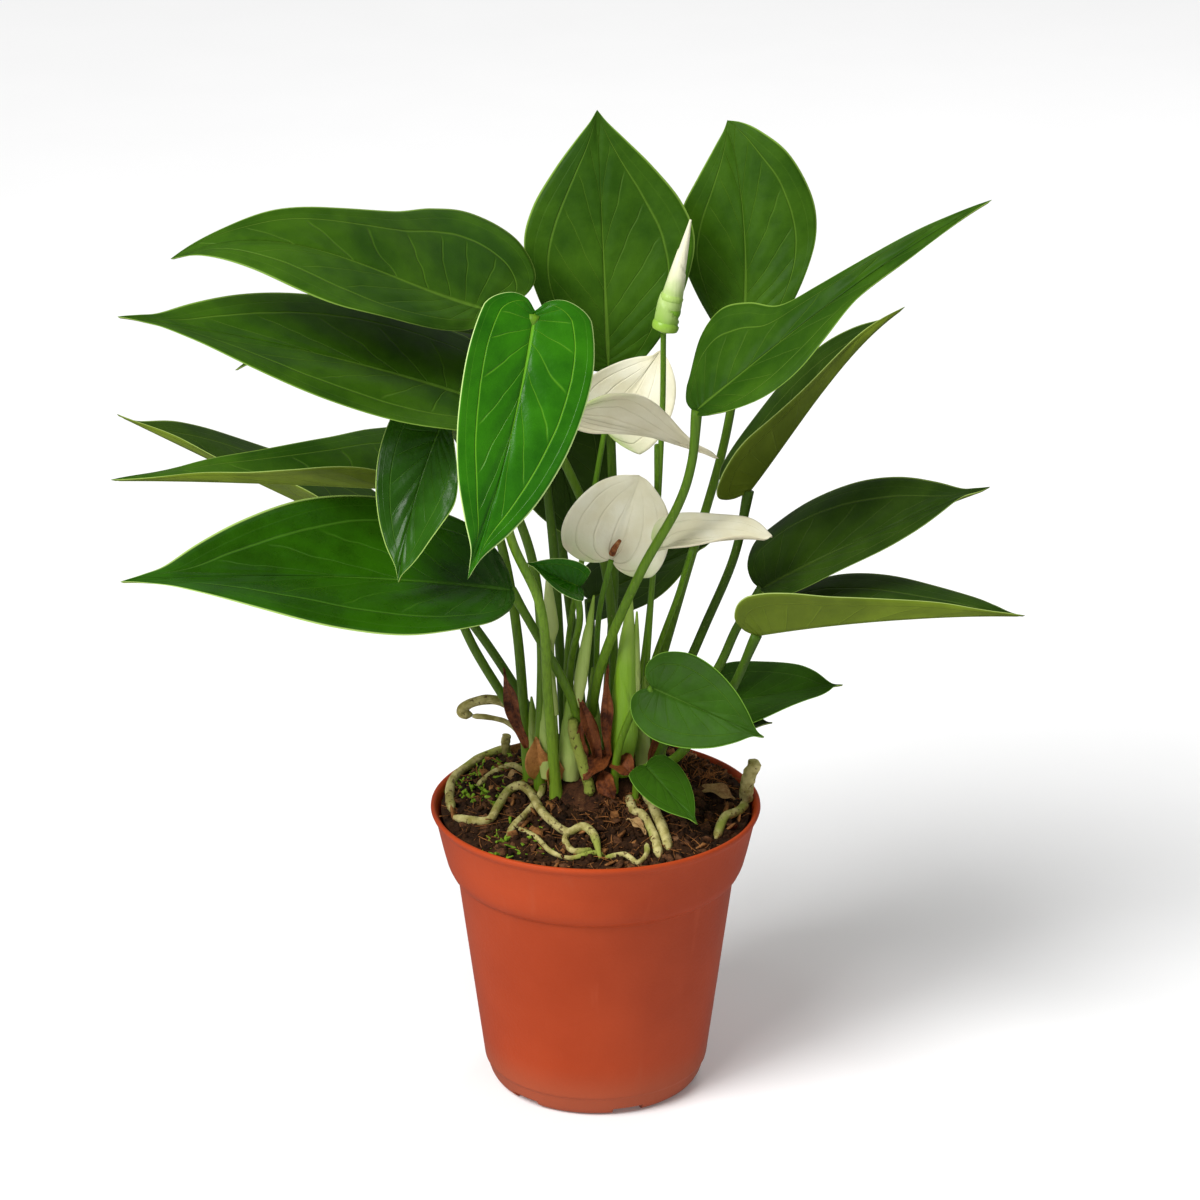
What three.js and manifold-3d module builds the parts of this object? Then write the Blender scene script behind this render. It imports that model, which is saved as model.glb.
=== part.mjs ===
// A potted anthurium: a nursery pot of potting mix, with a low crown that carries heart-shaped leaves,
// white spathes, a rolled flower bud, young sheaths and a few bare roots. Millimetres, +Z up.
// The origin is on the pot's axis, on the flat underside that the pot stands on.
import * as THREE from 'three';
import { mergeVertices } from 'three/addons/utils/BufferGeometryUtils.js';
import Module from 'manifold-3d';

const wasm = await Module();
wasm.setup();

// Pot: a 105 mm class thermoformed nursery pot.
const RIM_R = 53;
const POT_H = 96;
const BAND_Z = 73;
const BAND_R = 44.7;
const FLARE_R = 49.2;
const FOOT_R = 35.9;
const FOOT_Z = 7;
const WALL = 1.3;
const POT_SIDES = 32;
const NOTCHES = 6;
const NOTCH_W = 10;
const NOTCH_H = 2.6;
const NOTCH_TURN = 18;
const DRAINS = 6;
const DRAIN_R = 3;
const DRAIN_RING_R = 21;
const CHANNEL_Z = 3.4;

// Potting mix and crown.
const GAP = 0.4;
const MIX_EDGE_Z = 92;
const MIX_TOP_Z = 97;
const CROWN_R = 27;
const CROWN_TOP_Z = 108;

// Leaves and stalks.
const BLADE_T = 0.9;
const BLADE_S = 9;
const BLADE_R = 3;
const STALK_SIDES = 6;
const STALK_STEPS = 9;
const STALK_R = 1.6;
const FLOWER_STALK_R = 1;
const ROOT_R = 1.4;

const GREEN = 0x2c5c18;
const BRIGHT = 0x4f9a1c;
const DARK = 0x1f4416;
const CREAM = 0xe4dfcf;
const STEM = 0x6f8f22;
const TERRACOTTA = 0xb04a28;

// Half outlines of blades: along the midrib, then out from it, as fractions. First a heart-shaped leaf's,
// then leaves that are rounder, broader at the base, tapered, waisted, or fuller at the tip.
const HEART = [
  [-0.02, 0], [-0.1, 0.18], [-0.12, 0.45], [-0.05, 0.76], [0.09, 0.95], [0.24, 1],
  [0.44, 0.9], [0.63, 0.67], [0.78, 0.38], [0.88, 0.14], [0.94, 0.05], [1, 0],
];
const OVATE = [
  [-0.02, 0], [-0.04, 0.14], [0.03, 0.4], [0.16, 0.68], [0.32, 0.9], [0.48, 1],
  [0.62, 0.87], [0.76, 0.58], [0.88, 0.28], [0.95, 0.1], [1, 0],
];
const BROAD = [
  [-0.02, 0], [-0.12, 0.2], [-0.17, 0.5], [-0.11, 0.82], [0.04, 1], [0.24, 1],
  [0.44, 0.86], [0.63, 0.62], [0.78, 0.36], [0.88, 0.14], [0.94, 0.05], [1, 0],
];
const TAPERED = [
  [-0.02, 0], [0, 0.2], [0.03, 0.45], [0.1, 0.76], [0.22, 0.96], [0.34, 1],
  [0.5, 0.88], [0.66, 0.62], [0.79, 0.36], [0.88, 0.14], [0.94, 0.05], [1, 0],
];
const LANCE = [
  [-0.02, 0], [-0.12, 0.2], [-0.17, 0.5], [-0.11, 0.82], [0.03, 1], [0.15, 0.94],
  [0.3, 0.68], [0.48, 0.46], [0.7, 0.29], [0.86, 0.13], [1, 0],
];
const EARED = [
  [-0.02, 0], [-0.03, 0.22], [0.02, 0.5], [0.1, 0.88], [0.19, 1], [0.27, 0.8],
  [0.34, 0.48], [0.45, 0.34], [0.6, 0.22], [0.8, 0.13], [0.92, 0.07], [1, 0],
];
const SLENDER = [
  [-0.02, 0], [0, 0.2], [0.04, 0.48], [0.1, 0.76], [0.2, 0.97], [0.32, 1],
  [0.43, 0.82], [0.56, 0.44], [0.7, 0.28], [0.85, 0.15], [1, 0],
];
const FULL = [
  [-0.02, 0], [-0.04, 0.14], [0.03, 0.4], [0.16, 0.68], [0.32, 0.9], [0.46, 1],
  [0.61, 0.97], [0.79, 0.76], [0.91, 0.44], [0.97, 0.2], [1, 0],
];
// Half outlines of spathes: rounded, blunt, and drawn up to a peak.
const SPATHE = [
  [-0.02, 0], [-0.12, 0.2], [-0.14, 0.5], [-0.04, 0.84], [0.18, 1], [0.4, 0.98],
  [0.62, 0.82], [0.8, 0.55], [0.91, 0.27], [0.97, 0.1], [1, 0],
];
const BLUNT = [
  [-0.02, 0], [-0.12, 0.2], [-0.15, 0.5], [-0.05, 0.82], [0.15, 0.99], [0.38, 1],
  [0.6, 0.88], [0.79, 0.66], [0.92, 0.38], [0.98, 0.16], [1, 0],
];
const PEAKED = [
  [-0.02, 0], [0.02, 0.16], [0.1, 0.42], [0.21, 0.74], [0.34, 1], [0.44, 0.86],
  [0.55, 0.56], [0.67, 0.32], [0.8, 0.17], [0.92, 0.09], [1, 0],
];

const v3 = (p) => new THREE.Vector3(...p);
const group = new THREE.Group();

function add(name, geometry, color, roughness = 0.5, metalness = 0) {
  const material = new THREE.MeshStandardMaterial({ color, roughness, metalness });
  const mesh = new THREE.Mesh(geometry, material);
  mesh.name = name;
  group.add(mesh);
}

// A mesh with its shared corners merged and its flat triangles left out.
function welded(geometry) {
  const bare = new THREE.BufferGeometry();
  bare.setAttribute('position', geometry.getAttribute('position'));
  if (geometry.index) bare.setIndex(geometry.index);
  const merged = mergeVertices(bare, 1e-4);
  const index = [...merged.index.array];
  const kept = [];
  for (let i = 0; i < index.length; i += 3) {
    const [a, b, c] = index.slice(i, i + 3);
    if (a !== b && b !== c && c !== a) kept.push(a, b, c);
  }
  merged.setIndex(kept);
  return merged;
}

function toManifold(geometry) {
  const mesh = welded(geometry);
  const vertProperties = new Float32Array(mesh.getAttribute('position').array);
  const triVerts = new Uint32Array(mesh.index.array);
  return new wasm.Manifold(new wasm.Mesh({ numProp: 3, vertProperties, triVerts }));
}

function fromManifold(solid) {
  const { vertProperties, triVerts } = solid.getMesh();
  const geometry = new THREE.BufferGeometry();
  geometry.setAttribute('position', new THREE.BufferAttribute(vertProperties, 3));
  geometry.setIndex([...triVerts]);
  return geometry;
}

// A turned solid about +Z from [radius, height] points.
function turned(points, sides) {
  const profile = points.map(([r, z]) => new THREE.Vector2(r, z));
  return new THREE.LatheGeometry(profile, sides).rotateX(Math.PI / 2);
}

function potShell() {
  const outside = [
    [0, 0], [13, 0], [14.5, CHANNEL_Z], [27, CHANNEL_Z], [28.5, 0], [31.2, 0], [33, 0.5],
    [34.4, 2.4], [FOOT_R, FOOT_Z], [BAND_R, BAND_Z - 0.4], [BAND_R + 1.5, BAND_Z + 0.2],
    [47.8, BAND_Z + 3.5], [FLARE_R, BAND_Z + 9],
    [RIM_R - 1.4, POT_H - 3], [RIM_R, POT_H - 1.6], [RIM_R - 0.2, POT_H],
  ];
  const inside = [
    [RIM_R - 1.6, POT_H - 0.3], [RIM_R - 1.4 - WALL, POT_H - 3], [FLARE_R - WALL, BAND_Z + 9],
    [46.3, BAND_Z + 4], [BAND_R - WALL, BAND_Z], [FOOT_R - WALL, FOOT_Z], [33.2, CHANNEL_Z + WALL + 1.3],
    [31, CHANNEL_Z + WALL], [13.5, CHANNEL_Z + WALL], [12, WALL], [0, WALL],
  ];
  let pot = toManifold(turned([...outside, ...inside], POT_SIDES));
  for (let i = 0; i < NOTCHES; i++) {
    const notch = new THREE.BoxGeometry(NOTCH_W, 12, 2 * NOTCH_H).translate(0, -(FOOT_R - 5), 0);
    notch.rotateZ(THREE.MathUtils.degToRad(NOTCH_TURN + (360 / NOTCHES) * i));
    pot = pot.subtract(toManifold(notch));
  }
  for (let i = 0; i < DRAINS; i++) {
    const drain = new THREE.CylinderGeometry(DRAIN_R, DRAIN_R, 6, 10).rotateX(Math.PI / 2);
    drain.translate(DRAIN_RING_R, 0, CHANNEL_Z).rotateZ(((2 * Math.PI) / DRAINS) * i);
    pot = pot.subtract(toManifold(drain));
  }
  return fromManifold(pot);
}

function pottingMix() {
  const z = CHANNEL_Z + WALL + GAP;
  const wall = WALL + 2 * GAP;
  return turned([
    [0, z], [30, z], [33, z + 2.6], [FOOT_R - wall, FOOT_Z + 2], [BAND_R - wall - 0.3, BAND_Z],
    [FLARE_R - wall - 1, BAND_Z + 6.5], [48.8, MIX_EDGE_Z], [44, 93.4], [36, 95.6], [30, MIX_TOP_Z - 0.6],
    [CROWN_R, MIX_TOP_Z], [0, MIX_TOP_Z],
  ], POT_SIDES);
}

function crownStub() {
  const z = MIX_TOP_Z + GAP;
  return turned([
    [0, z], [CROWN_R - 1, z], [CROWN_R, z + 3], [CROWN_R - 1, z + 7], [CROWN_R - 3, CROWN_TOP_Z],
    [0, CROWN_TOP_Z],
  ], 20);
}

// The midrib of a blade and the frame that rides along it.
function ribFrames({ base, tip, face, arch = 0, archAt = [1.3, 1.3], bend = 0 }) {
  const start = v3(base);
  const end = v3(tip);
  const chord = end.clone().sub(start);
  const length = chord.length();
  chord.normalize();
  const up = v3(face).normalize();
  up.addScaledVector(chord, -up.dot(chord)).normalize();
  const side = new THREE.Vector3().crossVectors(chord, up);
  const knot = (t, rise) => start.clone().addScaledVector(chord, length * t)
    .addScaledVector(up, arch * rise).addScaledVector(side, bend * 1.3);
  const curve = new THREE.CubicBezierCurve3(start, knot(0.33, archAt[0]), knot(0.7, archAt[1]), end);
  return (along) => {
    const t = THREE.MathUtils.clamp(along, 0, 1);
    const point = curve.getPoint(t);
    const tangent = curve.getTangent(t);
    const normal = up.clone().addScaledVector(tangent, -up.dot(tangent)).normalize();
    point.addScaledVector(tangent, Math.min(along, 0) * length);
    return { point, normal, side: new THREE.Vector3().crossVectors(tangent, normal) };
  };
}

// A point on one half of the blade; fold lifts the half from the midrib, curl bends its edge.
function onBlade(spec, frameAt, along, out, hand) {
  const { point, normal, side } = frameAt(along);
  const half = hand > 0 ? 0 : 1;
  const fold = THREE.MathUtils.degToRad(spec.fold?.[half] ?? 10);
  const reach = out * spec.wide[half];
  const rise = (spec.curl?.[half] ?? -0.12) * reach * out;
  point.addScaledVector(side, hand * (reach * Math.cos(fold) - rise * Math.sin(fold)));
  point.addScaledVector(normal, reach * Math.sin(fold) + rise * Math.cos(fold));
  return { point, normal };
}

// A closed blade of even thickness: an upper and a lower skin, joined round the margin.
function blade(spec, outline = HEART) {
  const frameAt = ribFrames(spec);
  const edges = (spec.outline ?? [outline, outline]).map(
    (points) => new THREE.SplineCurve(points.map(([a, b]) => new THREE.Vector2(a, b))),
  );
  const position = [];
  const index = [];
  const corner = (i, j, hand, skin) => {
    const s = i / BLADE_S;
    const rim = edges[hand > 0 ? 0 : 1].getPoint(s);
    const r = j / BLADE_R;
    const reach = rim.x < 0 ? rim.x * (spec.lobe ?? 0.4) : rim.x;
    const along = Math.pow(s, 1.25) * (1 - r) + reach * r;
    const { point, normal } = onBlade(spec, frameAt, along, Math.max(rim.y, 0) * r, hand);
    point.addScaledVector(normal, (skin * BLADE_T) / 2);
    position.push(point.x, point.y, point.z);
    return position.length / 3 - 1;
  };
  const quad = (a, b, c, d, turn) => index.push(...(turn > 0 ? [a, b, c, a, c, d] : [a, c, b, a, d, c]));
  for (const hand of [1, -1]) {
    for (let i = 0; i < BLADE_S; i++) {
      for (let j = 0; j < BLADE_R; j++) {
        for (const skin of [1, -1]) {
          const ring = [[i, j], [i, j + 1], [i + 1, j + 1], [i + 1, j]];
          const c = ring.map(([p, q]) => corner(p, q, hand, skin));
          quad(...c, hand * skin);
        }
      }
      const top = [corner(i, BLADE_R, hand, 1), corner(i + 1, BLADE_R, hand, 1)];
      const low = [corner(i + 1, BLADE_R, hand, -1), corner(i, BLADE_R, hand, -1)];
      quad(...top, ...low, -hand);
    }
  }
  const geometry = new THREE.BufferGeometry();
  geometry.setAttribute('position', new THREE.Float32BufferAttribute(position, 3));
  geometry.setIndex(index);
  return welded(geometry);
}

// A round tube through hand-placed points.
function tube(points, radius, steps = STALK_STEPS, sides = STALK_SIDES) {
  const section = new THREE.Shape();
  for (let k = 0; k < sides; k++) {
    const turn = (2 * Math.PI * k) / sides;
    section[k ? 'lineTo' : 'moveTo'](radius * Math.cos(turn), radius * Math.sin(turn));
  }
  const path = new THREE.CatmullRomCurve3(points.map(v3), false, 'centripetal');
  return welded(new THREE.ExtrudeGeometry(section, { steps, extrudePath: path, bevelEnabled: false }));
}

// A turned spindle from foot to tip, for buds and rolled sheaths.
function spindle(foot, tip, radii, sides = 8) {
  const from = v3(foot);
  const axis = v3(tip).sub(from);
  const length = axis.length();
  const points = radii.map((r, k) => [r, (length * k) / (radii.length - 1)]);
  const geometry = turned([[0, 0], ...points, [0, length]], sides);
  const turn = new THREE.Quaternion().setFromUnitVectors(new THREE.Vector3(0, 0, 1), axis.normalize());
  return welded(geometry.applyQuaternion(turn).translate(from.x, from.y, from.z));
}

// The stalk stops just short of the blade, under its midrib.
function stalkTo(spec) {
  const end = v3(spec.joint ?? spec.base);
  const last = v3(spec.stalk.at(-1));
  end.addScaledVector(end.clone().sub(last).normalize(), -(spec.clear ?? 2.4));
  return tube([...spec.stalk, end.toArray()], spec.stalkR ?? STALK_R);
}

// Each leaf: where the stalk meets it, where it ends, the way its upper face looks, how far each half
// reaches, how it is folded and arched, and its stalk's route.
const LEAVES = {
  front_heart: { base: [-18, -38, 271], tip: [-38, -66, 197], face: [0.1, -1, 0.4], wide: [18.5, 20],
    fold: [18, 12], arch: 2, bend: -2, lobe: 0.5, color: BRIGHT,
    stalk: [[-13, -9, 109], [-15, -14, 138], [-17, -24, 172], [-27, -34, 205], [-23, -36, 248]], clear: 4 },
  upper_left: { base: [-34, -9, 263.5], tip: [-127, -25, 284], face: [0, -0.42, 0.9], wide: [44, 26],
    fold: [6, 12], arch: 10, archAt: [0.4, 2.8], lobe: 1.1, outline: [LANCE, OVATE],
    stalk: [[5, 6, 109], [6, 10, 132], [2, 12, 176], [-18, 8, 226]] },
  mid_left: { base: [-39, -22, 240], tip: [-142, -38, 270], face: [0, -0.2, 0.98], wide: [33, 30],
    fold: [14, 8], arch: 3, outline: [BROAD, HEART],
    stalk: [[-18, -3, 109], [-17, -4, 150], [-20, -2, 180], [-30, -10, 212]] },
  hanging_left: { base: [-46.5, -28, 233], tip: [-59.5, -50, 190], face: [-0.35, -0.9, 0.25],
    wide: [15, 15], fold: [18, 24], bend: 2, lobe: 0.3, outline: [BROAD, OVATE],
    stalk: [[-22, 4, 109], [-25, 10, 150], [-31, 16, 182], [-42, 0, 218]] },
  side_left_far: { base: [-72, 50, 168], tip: [-155, 56, 208], face: [0, 0, 1], wide: [30, 13],
    fold: [12, 44], outline: [HEART, SLENDER], color: DARK,
    stalk: [[-18, 16, 109], [-24, 24, 122], [-46, 42, 148]] },
  side_left: { base: [-55, 0, 202], tip: [-150, -8, 208], face: [0, -0.05, 1], wide: [36, 9],
    fold: [18, 66], arch: 1, outline: [LANCE, SLENDER],
    stalk: [[-22, 10, 109], [-26, 13, 120], [-40, 15, 145], [-49, 13, 172]] },
  low_left: { base: [-26, -25, 178], tip: [-143, -52, 191], face: [0, -0.33, 0.94], wide: [35, 30],
    fold: [15, 13], arch: 4, outline: [TAPERED, TAPERED],
    stalk: [[-3, -3, 109], [-5, -6, 125], [-9.5, -10, 140], [-19, -16, 161]] },
  top_centre: { base: [4, 34, 231], tip: [0.5, 52, 310], face: [-0.15, -1, 0.25], wide: [29, 25],
    fold: [4, 8], outline: [OVATE, OVATE], stalk: [[3, 18, 109], [4, 19, 128], [6, 23, 170]] },
  top_right: { base: [47, 50, 236], tip: [42, 70, 302], face: [-0.25, -1, 0.2], wide: [23, 22],
    fold: [6, 6], bend: 3, outline: [FULL, OVATE],
    stalk: [[14, 19, 109], [19, 21, 128], [29, 34, 160], [41, 45, 200]] },
  upper_right: { base: [31, -16, 233.5], tip: [118, -24, 302], face: [-0.57, -0.48, 0.67], wide: [15.5, 25],
    fold: [12, 12], arch: 5, archAt: [0.8, 1.4], lobe: 0.6, outline: [SLENDER, EARED],
    stalk: [[-1, 2, 109], [-1, -1, 128], [3, -8, 150], [14, -20, 182], [25, -20, 203], [29.5, -18, 217]],
    clear: 4.2 },
  folded_right: { base: [48.6, 20, 194.7], tip: [97.5, 34, 251], face: [-0.8, 0.1, 0.5], wide: [14, 20],
    fold: [62, 40], arch: 3, archAt: [0.4, 2.2], lobe: 0.6, outline: [LANCE, HEART], color: DARK,
    stalk: [[20, 8, 109], [23, 10, 122], [34, 15, 148], [44, 19, 172]] },
  mid_right: { base: [52.6, 4, 167.5], tip: [122.4, -6, 205], face: [-0.3, -0.3, 0.9], wide: [12.5, 31],
    fold: [10, 6], arch: 2, outline: [TAPERED, HEART], color: DARK,
    stalk: [[19, 2, 109], [24, 4, 118], [38, 5, 138], [45, 5, 154]] },
  lower_right: { base: [50.4, -16, 159.8], tip: [133, -22, 168.4], face: [0, 0.15, 0.98], wide: [16.5, 28],
    fold: [66, 26], arch: 2, lobe: 0.4, outline: [LANCE, TAPERED], color: DARK,
    stalk: [[20, -6, 109], [27, -8, 116], [41, -12, 136]] },
  small_right: { base: [38, 12, 125], tip: [79, 8, 133], face: [-0.2, -0.25, 0.95], wide: [14.5, 18],
    fold: [12, 12], stalk: [[22, 14, 109], [28, 13.5, 114]], stalkR: 1.3 },
  round_front: { base: [18, -22, 144], tip: [52, -40, 135], face: [0.1, -1, 0.35], wide: [14.5, 14.5],
    lobe: 1, stalk: [[6, -10, 109], [8, -12, 122], [13, -16, 136]], stalkR: 1.3 },
  soil_leaf: { base: [16, -16, 115], tip: [32, -32, 102], face: [0.2, -0.6, 0.75], wide: [8.5, 8.5],
    stalk: [[13, -11, 109], [14.5, -13.5, 112.4]], stalkR: 0.9, clear: 1.2 },
  low_back_right: { base: [36, 21, 112], tip: [57, 15, 117], face: [0, -0.2, 1], wide: [8, 8], color: DARK,
    stalk: [[18, 21.5, 108.7], [27, 21.5, 110.5]], stalkR: 0.9 },
  back_left: { base: [-29, 24, 243], tip: [-114, 31, 231], face: [0, 0, 1], wide: [23, 23], arch: 9,
    color: DARK, stalk: [[-10, 17, 109], [-11, 18, 130], [-14, 24, 180], [-20, 25, 222]] },
  behind_stalks: { base: [-14, 34, 213], tip: [-4, 38, 167], face: [0, -1, 0.2], wide: [17, 17],
    color: DARK, stalk: [[-4, 22.5, 109], [-6, 30, 130], [-12, 46, 175], [-15, 44, 203]] },
  behind_flowers: { base: [-2, 48, 147], tip: [39, 54, 166], face: [-0.2, -0.3, 0.95], wide: [17, 17],
    color: DARK, stalk: [[1, 24.5, 108.7], [-1, 33, 122]] },
};

const FLOWERS = {
  spathe_back: { base: [3, 22, 214.5], tip: [20.5, 26, 239], face: [0.1, -0.9, 0.4], wide: [15.5, 14.5],
    fold: [4, 4], curl: [0.15, 0.1], lobe: 0.3, outline: [BLUNT, BROAD],
    stalk: [[-9, 10, 109], [-9, 12, 143], [-4, 18, 174]] },
  spathe_front: { base: [-7, -6, 229], tip: [38, -8, 215], face: [0.1, 0.85, 0.5], wide: [19, 6],
    fold: [6, 6], arch: 2, curl: [-0.25, -0.3], outline: [PEAKED, LANCE], joint: [19, -7, 219],
    stalk: [[15, 1, 109], [16, 5, 134], [19, 7, 190]] },
  spathe_round: { base: [5, 1, 178.5], tip: [14, 1, 206], face: [-0.1, -0.95, 0.3], wide: [16, 18],
    fold: [4, 8], curl: [0.1, 0.25], outline: [BLUNT, BLUNT],
    stalk: [[-1, 8.5, 109], [0, 7, 129], [1, 3, 158]] },
  spathe_side: { base: [21.5, -15.5, 188.6], tip: [54.8, -12, 191], face: [0, -0.25, 1], wide: [3.5, 13],
    fold: [12, 4], arch: 1, curl: [0.4, 0.1], outline: [BLUNT, BLUNT], joint: [30, -14, 188],
    stalk: [[14, 7, 109], [17, 13, 133], [26, 2, 166]] },
};

// Bare roots that lie on the mix, inside the rim.
const ROOTS = {
  root_rim_left: [[-29, 34, 98], [-37, 31, 97], [-42, 24, 96.6], [-45, 15, 96], [-46, -7, 95.5]],
  root_front: [[-43, -11, 96.5], [-36, -16, 97.5], [-31, -13, 99], [-25, -18, 99.2], [-20, -23, 99.2],
    [-12, -28, 99.2], [-5, -30, 99.2], [1.5, -40, 97]],
  root_right: [[46.5, -2, 95.6], [45, -8, 95.6], [41, -14, 96.2], [37.5, -24, 96.4]],
};

add('pot', potShell(), TERRACOTTA, 0.45);
add('potting_mix', pottingMix(), 0x32200f, 0.95);
add('crown', crownStub(), 0x4a3a18, 0.9);

for (const [name, spec] of Object.entries(LEAVES)) {
  add(`leaf_${name}`, blade(spec), spec.color ?? GREEN, 0.3);
  add(`stalk_${name}`, stalkTo(spec), STEM, 0.45);
}
for (const [name, spec] of Object.entries(FLOWERS)) {
  add(name, blade({ lobe: 0.7, ...spec }, SPATHE), CREAM, 0.4);
  add(`stalk_${name}`, stalkTo({ stalkR: FLOWER_STALK_R, ...spec }), STEM, 0.45);
}

add('flower_bud', spindle([21, 0, 254], [29, 0, 289], [1.2, 3, 3.6, 3.3, 2.6, 1.6, 0.5]), CREAM, 0.4);
const budStalk = [[9, 12, 109], [14, 10, 131], [18.5, 11, 173], [20.8, 10, 222], [20.8, 0, 253.2]];
add('stalk_flower_bud', tube(budStalk, FLOWER_STALK_R), STEM);
const youngLeaf = {
  base: [-5, -9, 173], tip: [-21.5, -17, 184], face: [0.3, -0.6, 0.7], wide: [7, 7.5], fold: [40, 30],
};
add('young_leaf', blade(youngLeaf), BRIGHT, 0.35);
add('stalk_young_leaf', tube([[-8, 3, 109], [-8, 2, 140], [-5, -5, 160], [-6, -7.5, 171]], 1.2), STEM);
add('sheath_large', spindle([8, -4, 108.6], [11, -5, 172], [2.9, 4, 3.4, 2.6, 1.7, 0.4]), 0xb9b877, 0.6);
add('young_bud', spindle([-12, -3.5, 108.7], [-15, -6, 178], [0.8, 1, 1.3, 2, 2.2, 0.3]), 0xd5d29a, 0.5);

for (const [name, points] of Object.entries(ROOTS)) add(name, tube(points, ROOT_R, 8), 0xb4b06a, 0.8);

export default group;
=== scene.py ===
"""Potted anthurium: the looks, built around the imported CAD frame. Lengths are in metres."""

import math
import random

import bmesh
import bpy
import numpy as np
from mathutils import Matrix, Vector, noise


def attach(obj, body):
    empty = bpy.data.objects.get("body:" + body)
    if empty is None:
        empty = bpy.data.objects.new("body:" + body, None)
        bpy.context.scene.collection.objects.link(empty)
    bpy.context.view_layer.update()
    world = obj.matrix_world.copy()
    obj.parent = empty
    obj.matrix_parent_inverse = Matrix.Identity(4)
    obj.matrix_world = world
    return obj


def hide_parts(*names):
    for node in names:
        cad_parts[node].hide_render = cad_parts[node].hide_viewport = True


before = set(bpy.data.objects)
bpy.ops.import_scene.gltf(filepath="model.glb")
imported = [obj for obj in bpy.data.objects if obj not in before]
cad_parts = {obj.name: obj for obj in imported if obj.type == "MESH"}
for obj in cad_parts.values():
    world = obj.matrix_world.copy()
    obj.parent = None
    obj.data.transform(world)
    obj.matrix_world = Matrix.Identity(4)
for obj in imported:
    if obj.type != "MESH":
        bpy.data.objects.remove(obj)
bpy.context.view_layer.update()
MM = 0.001


# ---- Pot -------------------------------------------------------------------------------------
# A thin nursery pot of terracotta-coloured plastic, vacuum-formed in one shell. A wide band stiffens
# the rim, the foot is notched to let water out, and the moulding leaves faint upright streaks and scuffs.

class Wire:
    """A socket in a material's node tree. Arithmetic on it adds Math nodes."""

    def __init__(self, tree, socket=None):
        self.tree = tree
        self.socket = socket

    def node(self, kind, inputs=None, out=0, stops=None, **settings):
        """Any node: its settings first, then values or wires for its sockets."""
        made = self.tree.nodes.new(kind)
        for name, value in settings.items():
            setattr(made, name, value)
        for at, (place, color) in enumerate(stops or []):
            ramp = made.color_ramp.elements
            stop = ramp[at] if at < 2 else ramp.new(place)
            stop.position = place
            stop.color = (*color, 1) if len(color) == 3 else color
        for name, value in (inputs or {}).items():
            if isinstance(value, Wire):
                self.tree.links.new(value.socket, made.inputs[name])
            else:
                made.inputs[name].default_value = value
        return Wire(self.tree, made.outputs[out])

    def _math(self, operation, first, second=0.0):
        return self.node("ShaderNodeMath", {0: first, 1: second}, operation=operation)

    def __add__(self, other):
        return self._math("ADD", self, other)

    def __radd__(self, other):
        return self._math("ADD", other, self)

    def __sub__(self, other):
        return self._math("SUBTRACT", self, other)

    def __rsub__(self, other):
        return self._math("SUBTRACT", other, self)

    def __mul__(self, other):
        return self._math("MULTIPLY", self, other)

    def __rmul__(self, other):
        return self._math("MULTIPLY", other, self)

    def __abs__(self):
        return self._math("ABSOLUTE", self)

    def fraction(self):
        """What is left of the value past its last whole number."""
        return self._math("FRACT", self)

    def or_more(self, other):
        """The larger of two values."""
        return self._math("MAXIMUM", self, other)

    def between(self, low, high, start=0.0, end=1.0):
        """Smooth step of this value from start at low to end at high."""
        inputs = {0: self, 1: low, 2: high, 3: start, 4: end}
        return self.node("ShaderNodeMapRange", inputs, interpolation_type="SMOOTHSTEP")

    def blend(self, first, second):
        """A colour that goes from first to second as this value goes from 0 to 1."""
        first, second = ((*color, 1) if isinstance(color, tuple) else color for color in (first, second))
        return self.node("ShaderNodeMix", {0: self, 6: first, 7: second}, out=2, data_type="RGBA")

    def of_map(self, name, axis):
        """U (axis "X") or V (axis "Y") of the piece's own UV map of that name."""
        place = self.node("ShaderNodeUVMap", uv_map=name)
        return self.node("ShaderNodeSeparateXYZ", {"Vector": place}, out=axis)


def start_finish(name):
    """An empty material with a Principled shader; returns the material, its shader and a wire."""
    finish = bpy.data.materials.new(name)
    finish.use_nodes = True
    tree = finish.node_tree
    return finish, tree.nodes["Principled BSDF"], Wire(tree)


def end_finish(shader, wire, height, depth, constants, **varying):
    """Feeds a shader: varying sockets by wire, constants on the sockets, height through a bump."""
    for name, value in constants.items():
        shader.inputs[name].default_value = value
    for name, value in varying.items():
        wire.tree.links.new(value.socket, shader.inputs[name.replace("_", " ")])
    bump = wire.node("ShaderNodeBump", {"Height": height, "Distance": depth, "Strength": 1.0})
    wire.tree.links.new(bump.socket, shader.inputs["Normal"])


def place_on(wire):
    """Where a point of the piece lies, in metres."""
    return wire.node("ShaderNodeTexCoord", out="Object")


def speckle(wire, place, scale, detail=3.0, rough=0.5):
    """Noise from 0 to 1, with about as many blots to the metre as its scale."""
    inputs = {"Vector": place, "Scale": scale, "Detail": detail, "Roughness": rough}
    return wire.node("ShaderNodeTexNoise", inputs)


def drawn_out(wire, place, squeeze):
    """The place squeezed in Z, which draws a pattern out into upright streaks."""
    return wire.node("ShaderNodeMapping", {"Vector": place, "Scale": (1, 1, squeeze)})


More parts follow.
